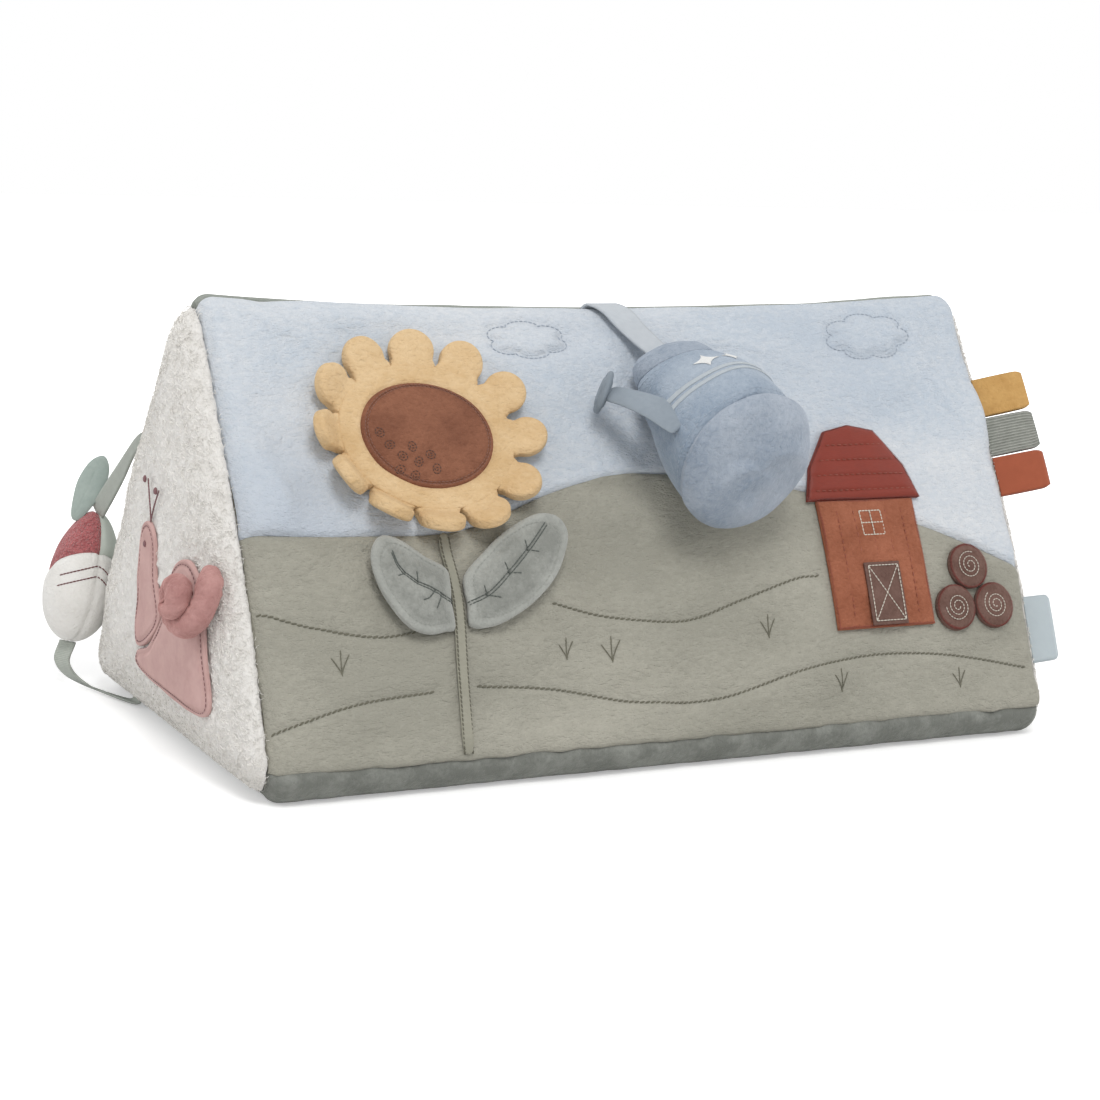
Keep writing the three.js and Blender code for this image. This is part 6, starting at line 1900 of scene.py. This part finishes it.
# Two pairs of dark red stitched lines run down from the seam, like folds in the skin
whisker_rows = []
for first in (74, 83):
    for sign, reach in ((-1, 62), (1, 30)):
        share = linspace(0.03, 1, 24)
        whisker_rows.append(on_radish(33 + sign * reach * share, first + (15 if sign < 0 else 11) * share ** 1.15))
maroon_thread = thread("maroon_thread", (0.170, 0.035, 0.035), (0.090, 0.020, 0.022))
sew("radish_line_stitches", whisker_rows, maroon_thread, "radish", "white_plush", long=2.0, wide=0.7, between=-0.3)

# Ribbons of the radish: one hangs it from the seam between the left end and the back, the
# other leaves its lower end, bows down to the floor and goes back into the base seam.
hang_wide, hang_thick, hang_z = 10.0, 1.2, 128.0
loop_wide, loop_thick, loop_y, loop_floor = 9.0, 1.2, 56.0, 1.2


def back_seam(z, out):
    w = np.arange(0, slope_length + heel_arc, fabric / 5)
    high = cover(1, np.full(len(w), -length / 2), w, 0)[:, 2]
    at = w[np.argmax(high <= z)]
    return cover(1, -length / 2, at, out)


radish_up = array([sin(radish_tilt), 0, cos(radish_tilt)])
seam_out = hang_thick / 2 + gap
seam_shift = array([-seam_rim / 2, 0, 0])
hang_root = back_seam(hang_z, seam_out) + seam_shift
radish_top = radish_middle + radish_up * (radish_tall / 2 + gap + hang_thick / 2 - 1.2)
hang_leave = hang_root + hang_wide * array([-0.5, 0.35, 0])
hang_middle = (hang_root + radish_top) / 2 + hang_wide * array([-0.12, 0.2, 0.2])
hang_line = smooth_line([hang_root, hang_leave, hang_middle, radish_top], 60)
seam_down = unit(back_seam(hang_z - hang_wide, seam_out) + seam_shift - hang_root)


def tape_shape(line, width, wide_start, wide_end):
    def shape(u, v):
        steps = steps_of(line)
        at = u * steps[-1]
        middle = read_line(at, steps, line)
        wide = unit(wide_start + (wide_end - wide_start) * u[:, None])
        return middle + wide * ((v - 0.5) * width)[:, None]
    return shape


sage_ribbon = ribbon_material("sage_grosgrain", (0.470, 0.500, 0.455), (0.330, 0.360, 0.318), ribs=170)
hang_tape = grid("radish_hang_tape", 90, 8,
                 tape_shape(hang_line, hang_wide * 0.9, seam_down, array([0.3, -0.5, -0.8])))
apply(hang_tape, "SOLIDIFY", thickness=hang_thick * mm, offset=0)
settle(hang_tape, sage_ribbon, "bolster", "sage_ribbon", "radish_hang_ribbon", None,
       "radish", hang_root, hang_root + (-4, 3, -2))

loop_root = array([-length / 2 - seam_rim, loop_y, edge_radius - rest - loop_thick / 2])
loop_start = radish_middle - radish_up * (radish_tall / 2 + rest + loop_thick - 2.0)
loop_low = loop_floor + loop_thick / 2
loop_line = smooth_line([
    loop_start, loop_start + (-radish_deep * 0.1, -radish_wide * 0.08, -radish_tall * 0.15),
    (radish_x - radish_deep * 0.08, radish_y - radish_wide * 0.25, loop_low + loop_floor),
    (radish_x + radish_deep * 0.3, loop_y + loop_wide, loop_low), loop_root], 80)
loop_tape = grid("radish_loop_tape", 110, 8,
                 tape_shape(loop_line, loop_wide, array([0.6, -0.8, 0]), array([0, -1.0, 0])))
apply(loop_tape, "SOLIDIFY", thickness=loop_thick * mm, offset=0)
settle(loop_tape, sage_ribbon, "bolster", "sage_ribbon", "radish_loop_ribbon", None,
       "radish", loop_root, loop_start)

# Radish leaf: two layers of blue-green felt cloth, sewn together, with a midrib. It
# curves a little along its length and across its width.
radish_leaf_long, radish_leaf_wide, radish_leaf_thick = 31.0, 14.0, 2.4
leaf_up = unit(array([0.45, 0.05, 1.0]))
leaf_side = array([0.75, -0.6, 0])
leaf_side = unit(leaf_side - leaf_up * leaf_side.dot(leaf_up))
leaf_face = np.cross(leaf_side, leaf_up)
root_turn, root_down = radians(168), radians(33)
root_swell = 1 - radish_taper * cos(root_down)
root_out = gap + 2.0
leaf_root = array([
    sin(root_down) * cos(root_turn) * (root_swell * radish_deep / 2 + root_out),
    sin(root_down) * sin(root_turn) * (root_swell * radish_wide / 2 + root_out),
    cos(root_down) * (radish_tall / 2 + root_out),
]) @ tilt_matrix.T + radish_middle
radish_leaf_line = closed_line([(a * radish_leaf_wide, b * radish_leaf_long) for a, b in (
    (-0.16, -0.06), (-0.42, 0.28), (-0.5, 0.55), (-0.36, 0.85), (0, 1), (0.36, 0.85), (0.5, 0.55), (0.42, 0.28),
    (0.16, -0.06))], 161)


def radish_leaf_shape(around, down):
    line = radish_leaf_line
    edge = read_line(around, linspace(0, 1, len(line)), line)
    centre = line[:-1].mean(axis=0)
    q = centre + (edge - centre) * (sin(pi * down) ** 0.7)[:, None]
    off = from_line(q[:, 0], q[:, 1], line)
    thick = radish_leaf_thick / 2 * (1 - 0.6 * exp(-off / 1.0))
    thick = thick - 0.35 * exp(-(q[:, 0] / 0.7) ** 2) * (q[:, 1] < radish_leaf_long * 0.8)
    h = np.sign(cos(pi * down)) * thick * np.abs(cos(pi * down)) ** 0.25
    bend = -2.0 * (q[:, 1] / radish_leaf_long) ** 2 - 0.9 * (q[:, 0] / radish_leaf_wide * 2) ** 2
    return leaf_root + q[:, :1] * leaf_side + q[:, 1:] * leaf_up + (h + bend)[:, None] * leaf_face


felt = plush("leaf_felt_cloth", (0.400, 0.460, 0.425), (0.290, 0.345, 0.320), patch=90, fibre=2200, depth=0.00025,
             contrast=0.8)
radish_leaf = ball("radish_leaf_felt", 80, 36, radish_leaf_shape)
settle(radish_leaf, felt, "radish", "leaf_felt", "radish_leaf", 0.2,
       "radish_leaf", leaf_root, leaf_root + leaf_up * 5)
